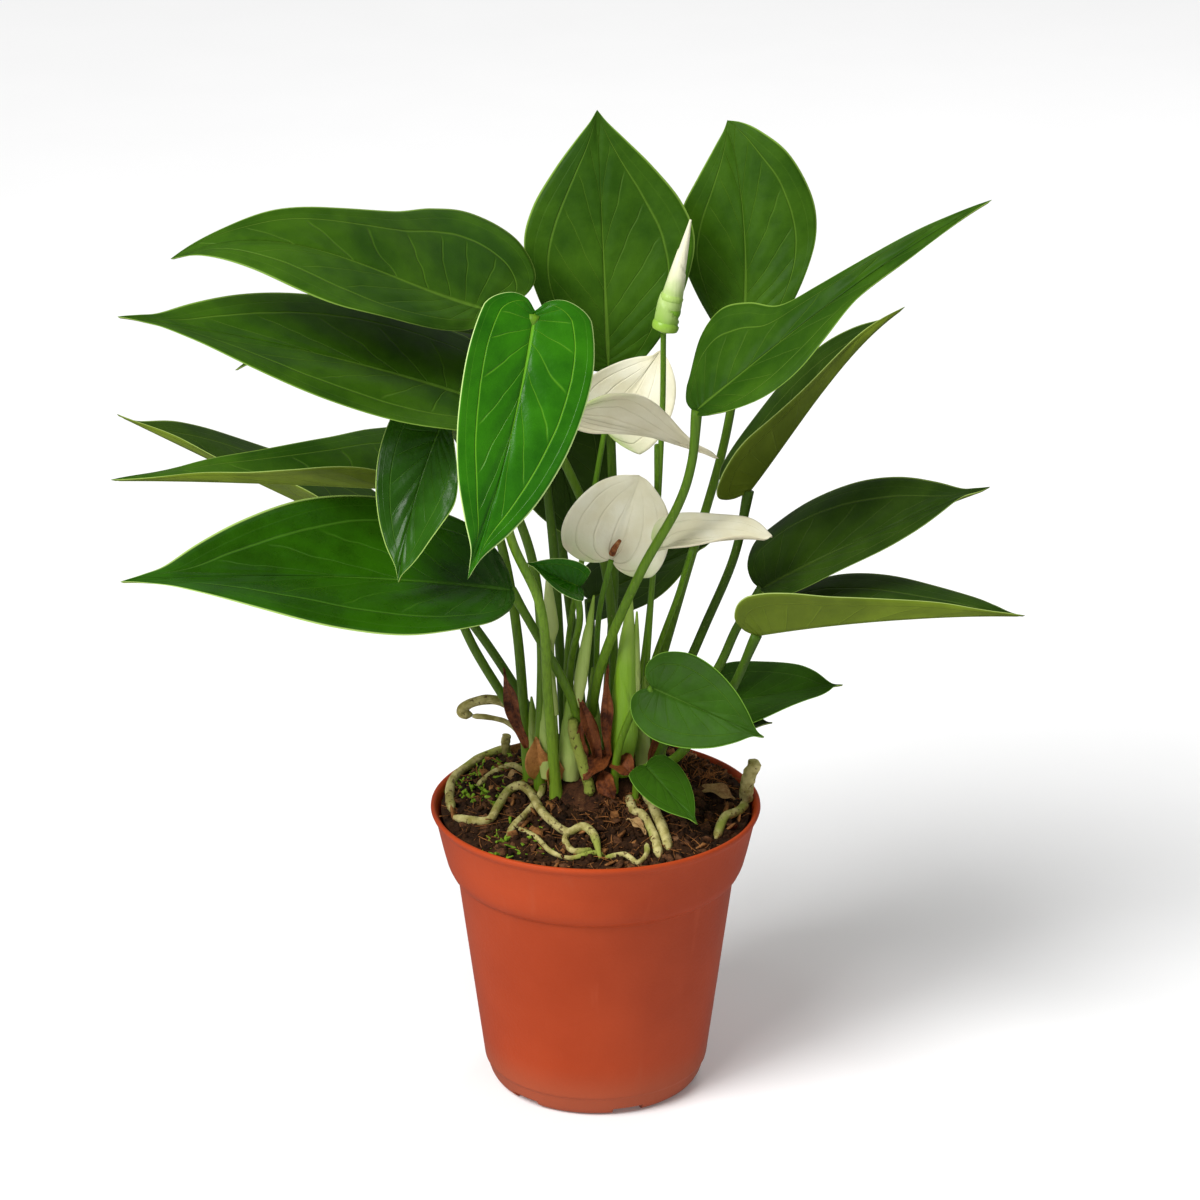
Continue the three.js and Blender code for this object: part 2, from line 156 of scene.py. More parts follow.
def pot_finish():
    finish, shader, wire = start_finish("terracotta_plastic")
    place = place_on(wire)
    cloud = speckle(wire, place, 22, 4)
    grain = speckle(wire, place, 900, 2)
    streak = speckle(wire, drawn_out(wire, place, 0.12), 160, 3)
    height = wire.node("ShaderNodeSeparateXYZ", {"Vector": place}, out="Z")
    body = cloud.between(0.3, 0.7).blend((0.37, 0.043, 0.007), (0.44, 0.056, 0.011))
    worn = streak.between(0.6, 0.78).blend(body, (0.43, 0.062, 0.016))
    low_dust = height.between(0.004, 0.02, 0.35, 0.0)
    color = low_dust.blend(worn, (0.33, 0.13, 0.07))
    rough = 0.36 + 0.16 * cloud + 0.08 * grain
    relief = 0.6 * grain + 0.4 * streak
    end_finish(shader, wire, relief, 0.00012, {"Specular IOR Level": 0.2},
               Base_Color=color, Roughness=rough)
    return finish


RIM_R, POT_H = 53 * MM, 96 * MM
BAND_R, BAND_Z = 44.7 * MM, 73 * MM
SHELF_R = 47.8 * MM
FLARE_R, FLARE_Z = 49.2 * MM, BAND_Z + 9 * MM
FOOT_R, FOOT_Z = 35.9 * MM, 7 * MM
WALL = 1.3 * MM
CHANNEL_Z = 3.4 * MM
FLOOR_Z = CHANNEL_Z + WALL
NOTCHES, NOTCH_TURN = 6, 18
NOTCH = (10 * MM, 12 * MM, 5.2 * MM)
DRAIN_R, DRAIN_AT = 3 * MM, 21 * MM
POT_STEPS = 144


def linked(name, data):
    """A new object in the scene."""
    made = bpy.data.objects.new(name, data)
    bpy.context.scene.collection.objects.link(made)
    return made


def piece(name, mesh, finishes, slot, *nodes):
    """Links a mesh as a piece that rides on the plant, with its finishes and the nodes it replaces."""
    made = linked(name, mesh)
    if mesh.materials:
        mesh.materials.clear()
    for finish in finishes:
        mesh.materials.append(finish)
    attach(made, "root")
    if nodes:
        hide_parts(*nodes)
    return made


def mesh_from(name, vertices, faces):
    """A smooth-shaded mesh of points and faces."""
    mesh = bpy.data.meshes.new(name)
    mesh.from_pydata([tuple(point) for point in vertices], [], faces)
    mesh.shade_smooth()
    return mesh


def circle(radius, steps):
    """Points round a circle about Z, as x and y."""
    turns = [2 * math.pi * k / steps for k in range(steps)]
    return [(radius * math.cos(turn), radius * math.sin(turn)) for turn in turns]


def revolved(name, profile, steps):
    """A closed shell turned about Z from (radius, height) points that start and end on the axis."""
    vertices, rows = [], []
    for radius, height in profile:
        ring = circle(radius, steps) if radius else [(0, 0)]
        rows.append([len(vertices) + k for k in range(len(ring))])
        vertices += [(x, y, height) for x, y in ring]
    faces = []
    for low, high in zip(rows, rows[1:]):
        for k in range(steps):
            after = k + 1
            ring = [low[k % len(low)], low[after % len(low)], high[after % len(high)], high[k % len(high)]]
            faces.append([corner for at, corner in enumerate(ring) if corner not in ring[:at]])
    return mesh_from(name, vertices, faces)


EDGE_EASE = 0.7 * MM


def rounded(profile, cut=0.3):
    """The profile with each corner eased, so that edges catch the light as moulded plastic does."""
    eased = [profile[0]]
    for before, here, after in zip(profile, profile[1:], profile[2:]):
        for other in (before, after):
            reach = min(cut, EDGE_EASE / math.dist(here, other))
            eased.append(tuple(h + (o - h) * reach for h, o in zip(here, other)))
    return [*eased, profile[-1]]


def solid(made):
    """The object's evaluated mesh, with its modifiers applied."""
    graph = bpy.context.evaluated_depsgraph_get()
    return bpy.data.meshes.new_from_object(made.evaluated_get(graph))


def pot_mesh():
    outside = [
        (0, 0), (13 * MM, 0), (14.5 * MM, CHANNEL_Z), (27 * MM, CHANNEL_Z), (28.5 * MM, 0),
        (31.2 * MM, 0), (33 * MM, 0.5 * MM), (34.4 * MM, 2.4 * MM), (FOOT_R, FOOT_Z),
        (FOOT_R + 0.4 * MM, FOOT_Z + 0.4 * MM),
        (BAND_R, BAND_Z - 0.4 * MM), (BAND_R + 1.5 * MM, BAND_Z + 0.2 * MM), (SHELF_R, BAND_Z + 3.5 * MM),
        (FLARE_R, FLARE_Z), (RIM_R - 1.4 * MM, POT_H - 3 * MM), (RIM_R, POT_H - 1.6 * MM),
        (RIM_R - 0.2 * MM, POT_H),
    ]
    inside = [
        (RIM_R - 1.6 * MM, POT_H - 0.3 * MM), (RIM_R - 1.4 * MM - WALL, POT_H - 3 * MM),
        (FLARE_R - WALL, FLARE_Z), (SHELF_R - 1.5 * MM, BAND_Z + 4 * MM), (BAND_R - WALL, BAND_Z),
        (FOOT_R - WALL, FOOT_Z), (33.2 * MM, FLOOR_Z + 1.3 * MM), (31 * MM, FLOOR_Z), (13.5 * MM, FLOOR_Z),
        (12 * MM, WALL), (0, WALL),
    ]
    shell = linked("pot_shell", revolved("pot_shell", rounded(outside + inside), POT_STEPS))
    cutter_mesh = bpy.data.meshes.new("pot_cutters")
    cutters = bmesh.new()
    for k in range(NOTCHES):
        turn = 2 * math.pi * k / NOTCHES
        notch_turn = Matrix.Rotation(math.radians(NOTCH_TURN) + turn, 3, "Z")
        box = bmesh.ops.create_cube(cutters, size=1)["verts"]
        bmesh.ops.scale(cutters, vec=NOTCH, verts=box)
        bmesh.ops.translate(cutters, vec=(0, 5 * MM - FOOT_R, 0), verts=box)
        bmesh.ops.rotate(cutters, matrix=notch_turn, verts=box)
        hole = bmesh.ops.create_cone(
            cutters, cap_ends=True, segments=24, radius1=DRAIN_R, radius2=DRAIN_R, depth=6 * MM)["verts"]
        bmesh.ops.translate(cutters, vec=(DRAIN_AT, 0, CHANNEL_Z), verts=hole)
        bmesh.ops.rotate(cutters, matrix=Matrix.Rotation(turn, 3, "Z"), verts=hole)
    cutters.to_mesh(cutter_mesh)
    cutters.free()
    cutter = linked("pot_cutters", cutter_mesh)
    cut = shell.modifiers.new("cut", "BOOLEAN")
    cut.object = cutter
    cut.solver = "EXACT"
    mesh = solid(shell)
    for spent in (shell, cutter):
        bpy.data.objects.remove(spent)
    return mesh


piece("pot_body", pot_mesh(), [pot_finish()], "pot_plastic", "pot")


# ---- Potting mix -----------------------------------------------------------------------------
# Damp bark, peat and coir fills the pot to just below the rim and rises a little to the crown.
# Chips, crumbs, fibres and bits of moss lie loose on it.

MIX_R = 49.6 * MM
MIX_EDGE, BACK_RISE, MOUND = 94 * MM, 2.2 * MM, 12.5 * MM
MOUND_PLACE, MOUND_R = Vector((0, 12 * MM)), 33 * MM
LUMP_H, GRIT_H = 1.9 * MM, 0.6 * MM


def mix_height(x, y):
    """The height of the mix, from its edge under the rim to the mound round the crown."""
    out = min(math.hypot(x, y) / MIX_R, 1)
    mound = math.exp(-((Vector((x, y)) - MOUND_PLACE).length / MOUND_R) ** 2)
    lumps = LUMP_H * noise.fractal((x * 130, y * 130, 3.1), 1.0, 2.0, 5)
    grit = GRIT_H * noise.noise((x * 900, y * 900, 0.5))
    slope = BACK_RISE * y / MIX_R
    return MIX_EDGE + slope + (MOUND * mound + lumps + grit) * (1 - out ** 10)


def quads(inner, outer, steps):
    """Four-sided faces between two rings of points, each given by its first point."""
    after = [(k + 1) % steps for k in range(steps)]
    return [(inner + k, outer + k, outer + after[k], inner + after[k]) for k in range(steps)]


def net(rings, steps):
    """The faces of a round net: a fan about its middle point, then rings of four-sided ones."""
    fan = [(0, 1 + k, 1 + (k + 1) % steps) for k in range(steps)]
    firsts = [1 + ring * steps for ring in range(rings)]
    return fan + [face for inner, outer in zip(firsts, firsts[1:]) for face in quads(inner, outer, steps)]


MIX_BELOW = ((45.6 * MM, 78.5 * MM), (42.6 * MM, 73.2 * MM), (34 * MM, 9 * MM), (30 * MM, 5.4 * MM))


def mix_mesh():
    """The mix as a closed body: its uneven top, then plain rings down the inside of the pot."""
    rings, steps = 84, 168
    vertices = [(0, 0, mix_height(0, 0))]
    for ring in range(1, rings + 1):
        vertices += [(x, y, mix_height(x, y)) for x, y in circle(MIX_R * ring / rings, steps)]
    faces = net(rings, steps)
    for radius, height in MIX_BELOW:
        first = len(vertices)
        vertices += [(x, y, height) for x, y in circle(radius, steps)]
        faces += quads(first - steps, first, steps)
    base = range(len(vertices) - steps, len(vertices))
    faces.append(tuple(reversed(base)))
    return mesh_from("potting_mix_body", vertices, faces)


def earthy_finish(name, dark, mid, light, scale, depth=0.0006, rough=0.85):
    """Bark, peat or dry leaf: three browns mottled at the piece's own scale, with a rough relief."""
    finish, shader, wire = start_finish(name)
    place = place_on(wire)
    blotch = speckle(wire, place, scale, 6, 0.65)
    fine = speckle(wire, place, scale * 6, 4, 0.7)
    shade = 0.6 * blotch + 0.4 * fine
    color = shade.between(0.55, 0.72).blend(shade.between(0.38, 0.56).blend(dark, mid), light)
    end_finish(shader, wire, blotch + 0.5 * fine, depth, {"Specular IOR Level": 0.3},
               Base_Color=color, Roughness=rough + 0.1 * fine)
    return finish


mix_finish = earthy_finish("damp_peat", (0.008, 0.0035, 0.0015), (0.035, 0.014, 0.005),
                           (0.11, 0.045, 0.014), 170)
bark_finish = earthy_finish("bark", (0.03, 0.012, 0.005), (0.12, 0.05, 0.02), (0.3, 0.17, 0.08), 260)
coir_finish = earthy_finish("coir", (0.14, 0.05, 0.014), (0.3, 0.12, 0.035), (0.5, 0.26, 0.1), 400, 0.0002)
moss_finish = earthy_finish("moss", (0.07, 0.14, 0.006), (0.2, 0.34, 0.02), (0.4, 0.5, 0.1), 300, 0.0003)
dry_finish = earthy_finish("dry_leaf", (0.12, 0.045, 0.012), (0.3, 0.13, 0.04), (0.55, 0.33, 0.14), 220,
                           0.0003)

mix = piece("potting_mix_body", mix_mesh(), [mix_finish], "potting_mix", "potting_mix")


def loose_bit(name, seed, size, flat, rings=3, sides=6):
    """An uneven, flattened crumb about the origin, of a few dozen faces."""
    draw = random.Random(seed)
    bit = bmesh.new()
    bmesh.ops.create_uvsphere(bit, u_segments=sides, v_segments=rings + 1, radius=1)
    for vertex in bit.verts:
        vertex.co *= draw.uniform(0.7, 1.25)
        vertex.co = Vector((vertex.co.x * size, vertex.co.y * size * 0.7, vertex.co.z * size * flat))
    mesh = bpy.data.meshes.new(name)
    bit.to_mesh(mesh)
    bit.free()
    return bpy.data.objects.new(name, mesh)


def fibre_bit(name, seed, length, radius):
    """A short curved strand about the origin: a closed tube of four sides."""
    draw = random.Random(seed)
    bends = [draw.uniform(-0.35, 0.35) for _ in range(3)]
    path = []
    for k in range(9):
        t = k / 8 - 0.5
        beside = bends[0] * math.sin(3 * t) + bends[1] * t * t
        above = 0.4 * bends[2] * (0.25 - t * t)
        path.append((t * length, length * beside, length * above))
    return bpy.data.objects.new(name, tube_mesh(name, path, lambda t: radius * (1 - 0.7 * t), 4, 12))


def smooth_path(points, count):
    """Evenly many points on a Catmull-Rom curve through given ones."""
    knots = np.asarray(points, float)
    ends = np.vstack([2 * knots[0] - knots[1], knots, 2 * knots[-1] - knots[-2]])
    spans = len(knots) - 1
    out = []
    for u in np.linspace(0, spans, count + 1):
        k = min(int(u), spans - 1)
        t = u - k
        a, b, c, d = ends[k:k + 4]
        slope, turn, twist = c - a, 2 * a - 5 * b + 4 * c - d, 3 * b - a - 3 * c + d
        out.append(0.5 * (2 * b + slope * t + turn * t * t + twist * t ** 3))
    return np.array(out)


def tube_mesh(name, points, radius_at, sides=14, count=40, lump=None):
    """A closed round tube along a path, with its UV map round it in U and along it in V.

    radius_at and lump are asked with 0 at the foot and 1 at the head."""
    path = smooth_path(points, count)
    heading = np.gradient(path, axis=0)
    heading /= np.linalg.norm(heading, axis=1)[:, None]
    across = np.cross(heading[0], (0, 0, 1) if abs(heading[0][2]) < 0.9 else (1, 0, 0))
    vertices, coords = [], []
    for k, (center, ahead) in enumerate(zip(path, heading)):
        across = across - ahead * np.dot(across, ahead)
        across /= np.linalg.norm(across)
        beside = np.cross(ahead, across)
        for j in range(sides):
            turn = 2 * math.pi * j / sides
            reach = radius_at(k / count) * (1 + (lump(k / count, turn) if lump else 0))
            vertices.append(center + reach * (math.cos(turn) * across + math.sin(turn) * beside))
            coords.append((j / sides, k / count))
    faces = []
    for k in range(count):
        for j in range(sides):
            a, b = k * sides + j, k * sides + (j + 1) % sides
            faces.append((a, b, b + sides, a + sides))
    faces.append(tuple(reversed(range(sides))))
    faces.append(tuple(count * sides + j for j in range(sides)))
    mesh = mesh_from(name, vertices, faces)
    layer = mesh.uv_layers.new(name="along")
    for loop in mesh.loops:
        layer.data[loop.index].uv = coords[loop.vertex_index]
    return mesh


LEAST_UPWARD = 0.3


def scatter_tree():
    """Geometry Nodes that strew copies of a loose bit over a surface, inside a patch."""
    tree = bpy.data.node_groups.new("strew", "GeometryNodeTree")
    face = tree.interface
    kinds = {
        "Surface": "Geometry", "Bit": "Object", "Density": "Float", "Seed": "Int", "Smallest": "Float",
        "Largest": "Float", "Tilt": "Float", "Patch Centre": "Vector", "Patch Reach": "Float",
        "Finish": "Material",
    }
    for label, kind in kinds.items():
        face.new_socket(label, in_out="INPUT", socket_type="NodeSocket" + kind)
    face.new_socket("Surface", in_out="OUTPUT", socket_type="NodeSocketGeometry")
    wire = Wire(tree)
    given = tree.nodes.new("NodeGroupInput")
    take = {label: Wire(tree, given.outputs[label]) for label in kinds}
    place = wire.node("GeometryNodeInputPosition")
    span = {0: place, 1: take["Patch Centre"]}
    away = wire.node("ShaderNodeVectorMath", span, out="Value", operation="DISTANCE")
    inside = wire.node("FunctionNodeCompare", {0: away, 1: take["Patch Reach"]}, operation="LESS_THAN")
    normal = wire.node("GeometryNodeInputNormal")
    upward = wire.node("ShaderNodeSeparateXYZ", {"Vector": normal}, out="Z")
    facing_up = wire.node("FunctionNodeCompare", {0: upward, 1: LEAST_UPWARD}, operation="GREATER_THAN")
    chosen = wire.node("FunctionNodeBooleanMath", {0: inside, 1: facing_up}, operation="AND")
    points = wire.node("GeometryNodeDistributePointsOnFaces", {
        "Mesh": take["Surface"], "Selection": chosen, "Density": take["Density"], "Seed": take["Seed"]})
    bit = wire.node("GeometryNodeObjectInfo", {"Object": take["Bit"]}, out="Geometry",
                    transform_space="ORIGINAL")
    other_way = 0 - take["Tilt"]
    low = wire.node("ShaderNodeCombineXYZ", {"X": other_way, "Y": other_way, "Z": 0.0})
    high = wire.node("ShaderNodeCombineXYZ", {"X": take["Tilt"], "Y": take["Tilt"], "Z": 2 * math.pi})
    turns = {0: low, 1: high, "Seed": take["Seed"]}
    turn = wire.node("FunctionNodeRandomValue", turns, data_type="FLOAT_VECTOR")
    size = wire.node("FunctionNodeRandomValue", {
        2: take["Smallest"], 3: take["Largest"], "Seed": take["Seed"] + 7}, out=1, data_type="FLOAT")
    copies = wire.node("GeometryNodeInstanceOnPoints", {
        "Points": points, "Instance": bit, "Rotation": turn, "Scale": size})
    real = wire.node("GeometryNodeRealizeInstances", {"Geometry": copies})
    done = wire.node("GeometryNodeSetMaterial", {"Geometry": real, "Material": take["Finish"]})
    result = tree.nodes.new("NodeGroupOutput")
    tree.links.new(done.socket, result.inputs[0])
    return tree


strew = scatter_tree()
WHOLE_TOP = {"Patch Centre": (0, 0, 92 * MM), "Patch Reach": 47.5 * MM}


def strewn(name, bit, finish, **values):
    """A piece made of copies of a bit strewn over the mix, over its whole top unless a patch is given."""
    bpy.context.scene.collection.objects.link(bit)
    ground = linked(name, mix.data.copy())
    nodes = ground.modifiers.new("strew", "NODES")
    nodes.node_group = strew
    labels = {s.name: s.identifier for s in strew.interface.items_tree if s.in_out == "INPUT"}
    settings = {"Bit": bit, "Finish": finish, **WHOLE_TOP}
    settings.update({label.replace("_", " "): value for label, value in values.items()})
    for label, value in settings.items():
        nodes[labels[label]] = value
    mesh = solid(ground)
    mesh.shade_smooth()
    mesh.name = name
    for spent in (ground, bit):
        bpy.data.objects.remove(spent)
    piece(name, mesh, [finish], "potting_mix")


strewn("peat_crumbs", loose_bit("crumb", 3, 1.1 * MM, 0.7), mix_finish,
       Density=300000.0, Seed=4, Smallest=0.4, Largest=1.4, Tilt=3.14)
strewn("bark_chips", loose_bit("chip", 8, 2.6 * MM, 0.32), bark_finish,
       Density=36000.0, Seed=11, Smallest=0.4, Largest=1.3, Tilt=0.9)
strewn("bark_splinters", loose_bit("splinter", 21, 3.4 * MM, 0.2, 3, 5), dry_finish,
       Density=11000.0, Seed=32, Smallest=0.4, Largest=1.2, Tilt=1.1)
strewn("coir_fibres", fibre_bit("coir_strand", 5, 11 * MM, 0.2 * MM), coir_finish,
       Density=80000.0, Seed=6, Smallest=0.5, Largest=1.1, Tilt=0.5)
strewn("coir_tuft_front", fibre_bit("front_strand", 9, 9 * MM, 0.19 * MM), coir_finish,
       Density=900000.0, Seed=8, Smallest=0.4, Largest=0.9, Tilt=1.2,
       Patch_Centre=(8 * MM, -14 * MM, 98 * MM), Patch_Reach=8 * MM)
strewn("coir_tuft_right", fibre_bit("right_strand", 19, 10 * MM, 0.19 * MM), coir_finish,
       Density=500000.0, Seed=9, Smallest=0.4, Largest=1.0, Tilt=1.2,
       Patch_Centre=(34 * MM, 16 * MM, 96 * MM), Patch_Reach=9 * MM)
strewn("moss_stems", fibre_bit("moss_strand", 2, 5 * MM, 0.8 * MM), moss_finish,
       Density=110000.0, Seed=14, Smallest=0.5, Largest=1.1, Tilt=0.7,
       Patch_Centre=(-33 * MM, 12 * MM, 97 * MM), Patch_Reach=17 * MM)
strewn("moss_front", fibre_bit("front_moss", 12, 5 * MM, 0.75 * MM), moss_finish,
       Density=110000.0, Seed=24, Smallest=0.5, Largest=1.1, Tilt=0.7,
       Patch_Centre=(-24 * MM, -28 * MM, 95 * MM), Patch_Reach=11 * MM)


# ---- Leaves ----------------------------------------------------------------------------------
# Leathery heart-shaped blades, glossy and dark above, olive and duller below, with a thin pale
# margin. A pale midrib, side veins and a collective vein near the margin sink into the upper face.

HEART = [(-0.02, 0), (-0.1, 0.18), (-0.12, 0.45), (-0.05, 0.76), (0.09, 0.95),
         (0.24, 1), (0.44, 0.9), (0.63, 0.67), (0.78, 0.38), (0.88, 0.14), (0.94, 0.05), (1, 0)]
OVATE = [(-0.02, 0), (-0.04, 0.14), (0.03, 0.4), (0.16, 0.68), (0.32, 0.9), (0.48, 1),
         (0.62, 0.87), (0.76, 0.58), (0.88, 0.28), (0.95, 0.1), (1, 0)]
BROAD = [(-0.02, 0), (-0.12, 0.2), (-0.17, 0.5), (-0.11, 0.82), (0.04, 1),
         (0.24, 1), (0.44, 0.86), (0.63, 0.62), (0.78, 0.36), (0.88, 0.14), (0.94, 0.05), (1, 0)]
TAPERED = [(-0.02, 0), (0, 0.2), (0.03, 0.45), (0.1, 0.76), (0.22, 0.96), (0.34, 1),
           (0.5, 0.88), (0.66, 0.62), (0.79, 0.36), (0.88, 0.14), (0.94, 0.05), (1, 0)]
LANCE = [(-0.02, 0), (-0.12, 0.2), (-0.17, 0.5), (-0.11, 0.82), (0.03, 1), (0.15, 0.94),
         (0.3, 0.68), (0.48, 0.46), (0.7, 0.29), (0.86, 0.13), (1, 0)]
EARED = [(-0.02, 0), (-0.03, 0.22), (0.02, 0.5), (0.1, 0.88), (0.19, 1), (0.27, 0.8),
         (0.34, 0.48), (0.45, 0.34), (0.6, 0.22), (0.8, 0.13), (0.92, 0.07), (1, 0)]
SLENDER = [(-0.02, 0), (0, 0.2), (0.04, 0.48), (0.1, 0.76), (0.2, 0.97), (0.32, 1),
           (0.43, 0.82), (0.56, 0.44), (0.7, 0.28), (0.85, 0.15), (1, 0)]
FULL = [(-0.02, 0), (-0.04, 0.14), (0.03, 0.4), (0.16, 0.68), (0.32, 0.9), (0.46, 1),
        (0.61, 0.97), (0.79, 0.76), (0.91, 0.44), (0.97, 0.2), (1, 0)]
BLADE_T = 0.5 * MM
VEINS = 11


def blade_finish(name, dark, light, vein, margin, rough=0.42, relief=1.0, gloss=0.13, show=0.4):
    """Leaf skin on the blade's own UV map: U runs round the margin, V from midrib to margin."""
    finish, shader, wire = start_finish(name)
    way, out = (wire.of_map("blade", axis) for axis in "XY")
    place = place_on(wire)
    wander = speckle(wire, place, 60, 2) - 0.5
    fine = speckle(wire, place, 700, 3, 0.6)
    cloud = speckle(wire, place, 30, 3)
    patches = speckle(wire, place, 110, 4, 0.6)
    beat = abs((way * VEINS + 0.5 * wander).fraction() - 0.5)
    collective = 0.58 + 0.26 * way + 0.04 * wander
    side_vein = beat.between(0.0, 0.05, 1.0, 0.0) * (collective - out).between(0.0, 0.12) * 0.5
    midrib = out.between(0.012, 0.036, 1.0, 0.0)
    main_vein = abs(out - collective).between(0.004, 0.018, 1.0, 0.0) * way.between(0.08, 0.16) * 0.8
    margin_vein = abs(out - (0.88 + 0.01 * wander)).between(0.002, 0.01, 1.0, 0.0) * 0.14
    veins = midrib
    for other in (side_vein, main_vein, margin_vein):
        veins = veins.or_more(other)
    edge = out.between(0.978, 0.994)
    body = (0.65 * cloud + 0.35 * patches).between(0.34, 0.66).blend(dark, light)
    color = edge.blend((veins * show).blend(body, vein), margin)
    height = relief * (0.2 * beat.between(0.0, 0.5) - 0.6 * veins) + 0.5 * patches + 0.12 * fine
    rough_here = rough + 0.22 * (patches - 0.5) + 0.1 * fine + 0.1 * veins
    end_finish(shader, wire, height, 0.0005, {"Specular IOR Level": gloss},
               Base_Color=color, Roughness=rough_here)
    return finish


UPPER = {
    "mid": blade_finish(
        "leaf_upper_mid", (0.018, 0.062, 0.002), (0.044, 0.118, 0.004), (0.16, 0.3, 0.03),
        (0.2, 0.34, 0.05)),
    # Leaves that lie in shade take this darker skin: partly their own deeper green, partly painted shade.
    "dark": blade_finish(
        "leaf_upper_dark_and_shaded", (0.013, 0.036, 0.0015), (0.03, 0.068, 0.004), (0.1, 0.17, 0.02),
        (0.18, 0.27, 0.05)),
    "rich": blade_finish(
        "leaf_upper_rich", (0.011, 0.05, 0.001), (0.022, 0.1, 0.0015), (0.1, 0.26, 0.02), (0.4, 0.58, 0.14),
        rough=0.24, gloss=0.25),
    "plain": blade_finish(
        "leaf_upper_plain", (0.02, 0.06, 0.003), (0.034, 0.105, 0.005), (0.1, 0.2, 0.02), (0.2, 0.4, 0.05),
        rough=0.4, relief=0.5, gloss=0.1, show=0.25),
    "bright": blade_finish(
        "leaf_upper_bright", (0.01, 0.085, 0.0006), (0.028, 0.17, 0.001), (0.17, 0.45, 0.02),
        (0.55, 0.75, 0.25), rough=0.22, gloss=0.25, show=0.7),
}
LOWER = {
    "mid": blade_finish(
        "leaf_lower", (0.095, 0.14, 0.008), (0.15, 0.21, 0.014), (0.2, 0.28, 0.03), (0.4, 0.5, 0.15),
        rough=0.5, relief=-0.8, gloss=0.15, show=0.35),
    "bright": blade_finish(
        "leaf_lower_bright", (0.1, 0.2, 0.012), (0.16, 0.3, 0.02), (0.3, 0.46, 0.05), (0.5, 0.66, 0.2),
        rough=0.46, relief=-0.8, gloss=0.2),
}


def rib_frames(spec, steps=200):
    """Points, headings, normals and sides along a blade's midrib, evenly spaced from base to tip."""
    start, end, up = (np.array(spec[k], float) for k in ("base", "tip", "face"))
    chord = end - start
    length = np.linalg.norm(chord)
    chord /= length
    up -= chord * np.dot(up, chord)
    up /= np.linalg.norm(up)
    side = np.cross(chord, up)
    arch, bend = spec.get("arch", 0), spec.get("bend", 0)
    first, second = spec.get("arch_at", (1.3, 1.3))
    knots = [start, start + chord * length * 0.33 + up * arch * first + side * bend * 1.3,
             start + chord * length * 0.7 + up * arch * second + side * bend * 1.3, end]
    t = np.linspace(0, 1, steps + 1)[:, None]
    rib = (knots[0] * (1 - t) ** 3 + 3 * knots[1] * t * (1 - t) ** 2
           + 3 * knots[2] * t * t * (1 - t) + knots[3] * t ** 3)
    ahead = np.gradient(rib, axis=0)
    ahead /= np.linalg.norm(ahead, axis=1)[:, None]
    normal = up - ahead * (ahead @ up)[:, None]
    normal /= np.linalg.norm(normal, axis=1)[:, None]
    beside = np.cross(ahead, normal)
    return rib * MM, ahead, normal, beside, length * MM


def heart_edge(outline, s):
    """The outline's point, along and out, at each fraction of its way from the notch to the tip."""
    path = smooth_path([(a, b, 0) for a, b in outline], 400)
    at = np.linspace(0, 1, len(path))
    return np.interp(s, at, path[:, 0]), np.maximum(np.interp(s, at, path[:, 1]), 0)


WAVES = 2.6
GROOVE = 0.35 * MM


def rib_values(values, fractions):
    """Vectors given along the midrib, read between its points at fractions of its length."""
    at = np.linspace(0, 1, len(values))
    return np.stack([np.interp(fractions, at, values[:, k]) for k in range(3)], -1)


def blade_mesh(name, spec, outline=HEART, around=90, across=18, thickness=BLADE_T, sweep=3.2):
    """A closed blade: upper and lower skins, rounded together at the margin, veins pressed in."""
    rib, ahead, normal, beside, length = rib_frames(spec)
    folds = np.radians(spec.get("fold", (10, 10)))
    curls = spec.get("curl", (-0.12, -0.12))
    seed = spec.get("seed", 0)
    ripple = spec.get("ripple", 0.8) * MM
    s = np.linspace(0, 1, around + 1) ** 0.92
    r = np.linspace(0, 1, across + 1)
    calm = np.minimum(1, 6 * (1 - s)) * np.minimum(1, 4 * s)
    grid = {}
    outlines = spec.get("outline", outline)
    outlines = outlines if isinstance(outlines, tuple) else (outlines, outlines)
    for hand, width, fold, curl, edge in zip((1, -1), spec["wide"], folds, curls, outlines):
        edge_along, edge_out = heart_edge(edge, s)
        edge_along = np.where(edge_along < 0, edge_along * spec.get("lobe", 0.4), edge_along)
        along = (s ** sweep)[:, None] * (1 - r) + edge_along[:, None] * r
        out = edge_out[:, None] * r
        inside = np.clip(along, 0, 1)
        behind = rib_values(ahead, inside) * (np.minimum(along, 0) * length)[..., None]
        center = rib_values(rib, inside) + behind
        reach = out * width * MM
        beat = np.abs((s * VEINS) % 1 - 0.5)[:, None]
        swell = np.sin(math.pi * np.clip(r / 0.8, 0, 1))
        quilt = (beat - 0.25) * spec.get("quilt", 0.01) * width * MM * swell
        groove = -GROOVE * np.exp(-(r / 0.035) ** 2)
        wave = ripple * r ** 2.5 * np.sin(2 * math.pi * WAVES * s[:, None] + seed + hand * 0.8)
        drift = np.array([[noise.noise((4 * u, 2 * v * hand, seed)) * v for v in r] for u in s])
        sway = drift * 0.05 * width * MM
        lift = curl * reach * out + (wave + quilt + groove + sway) * calm[:, None]
        sideways = hand * (reach * math.cos(fold) - lift * math.sin(fold))
        upward = reach * math.sin(fold) + lift * math.cos(fold)
        across_rib = rib_values(beside, inside) * sideways[..., None]
        grid[hand] = center + across_rib + rib_values(normal, inside) * upward[..., None]
    seam = 0.5 * (grid[1][:, 0] + grid[-1][:, 0])
    sinus = 0.5 * (grid[1][0] + grid[-1][0])
    tip = grid[1][-1, 0]
    for half in grid.values():
        half[:, 0], half[0], half[-1] = seam, sinus, tip
    return skin_mesh(name, grid, s, r, thickness)


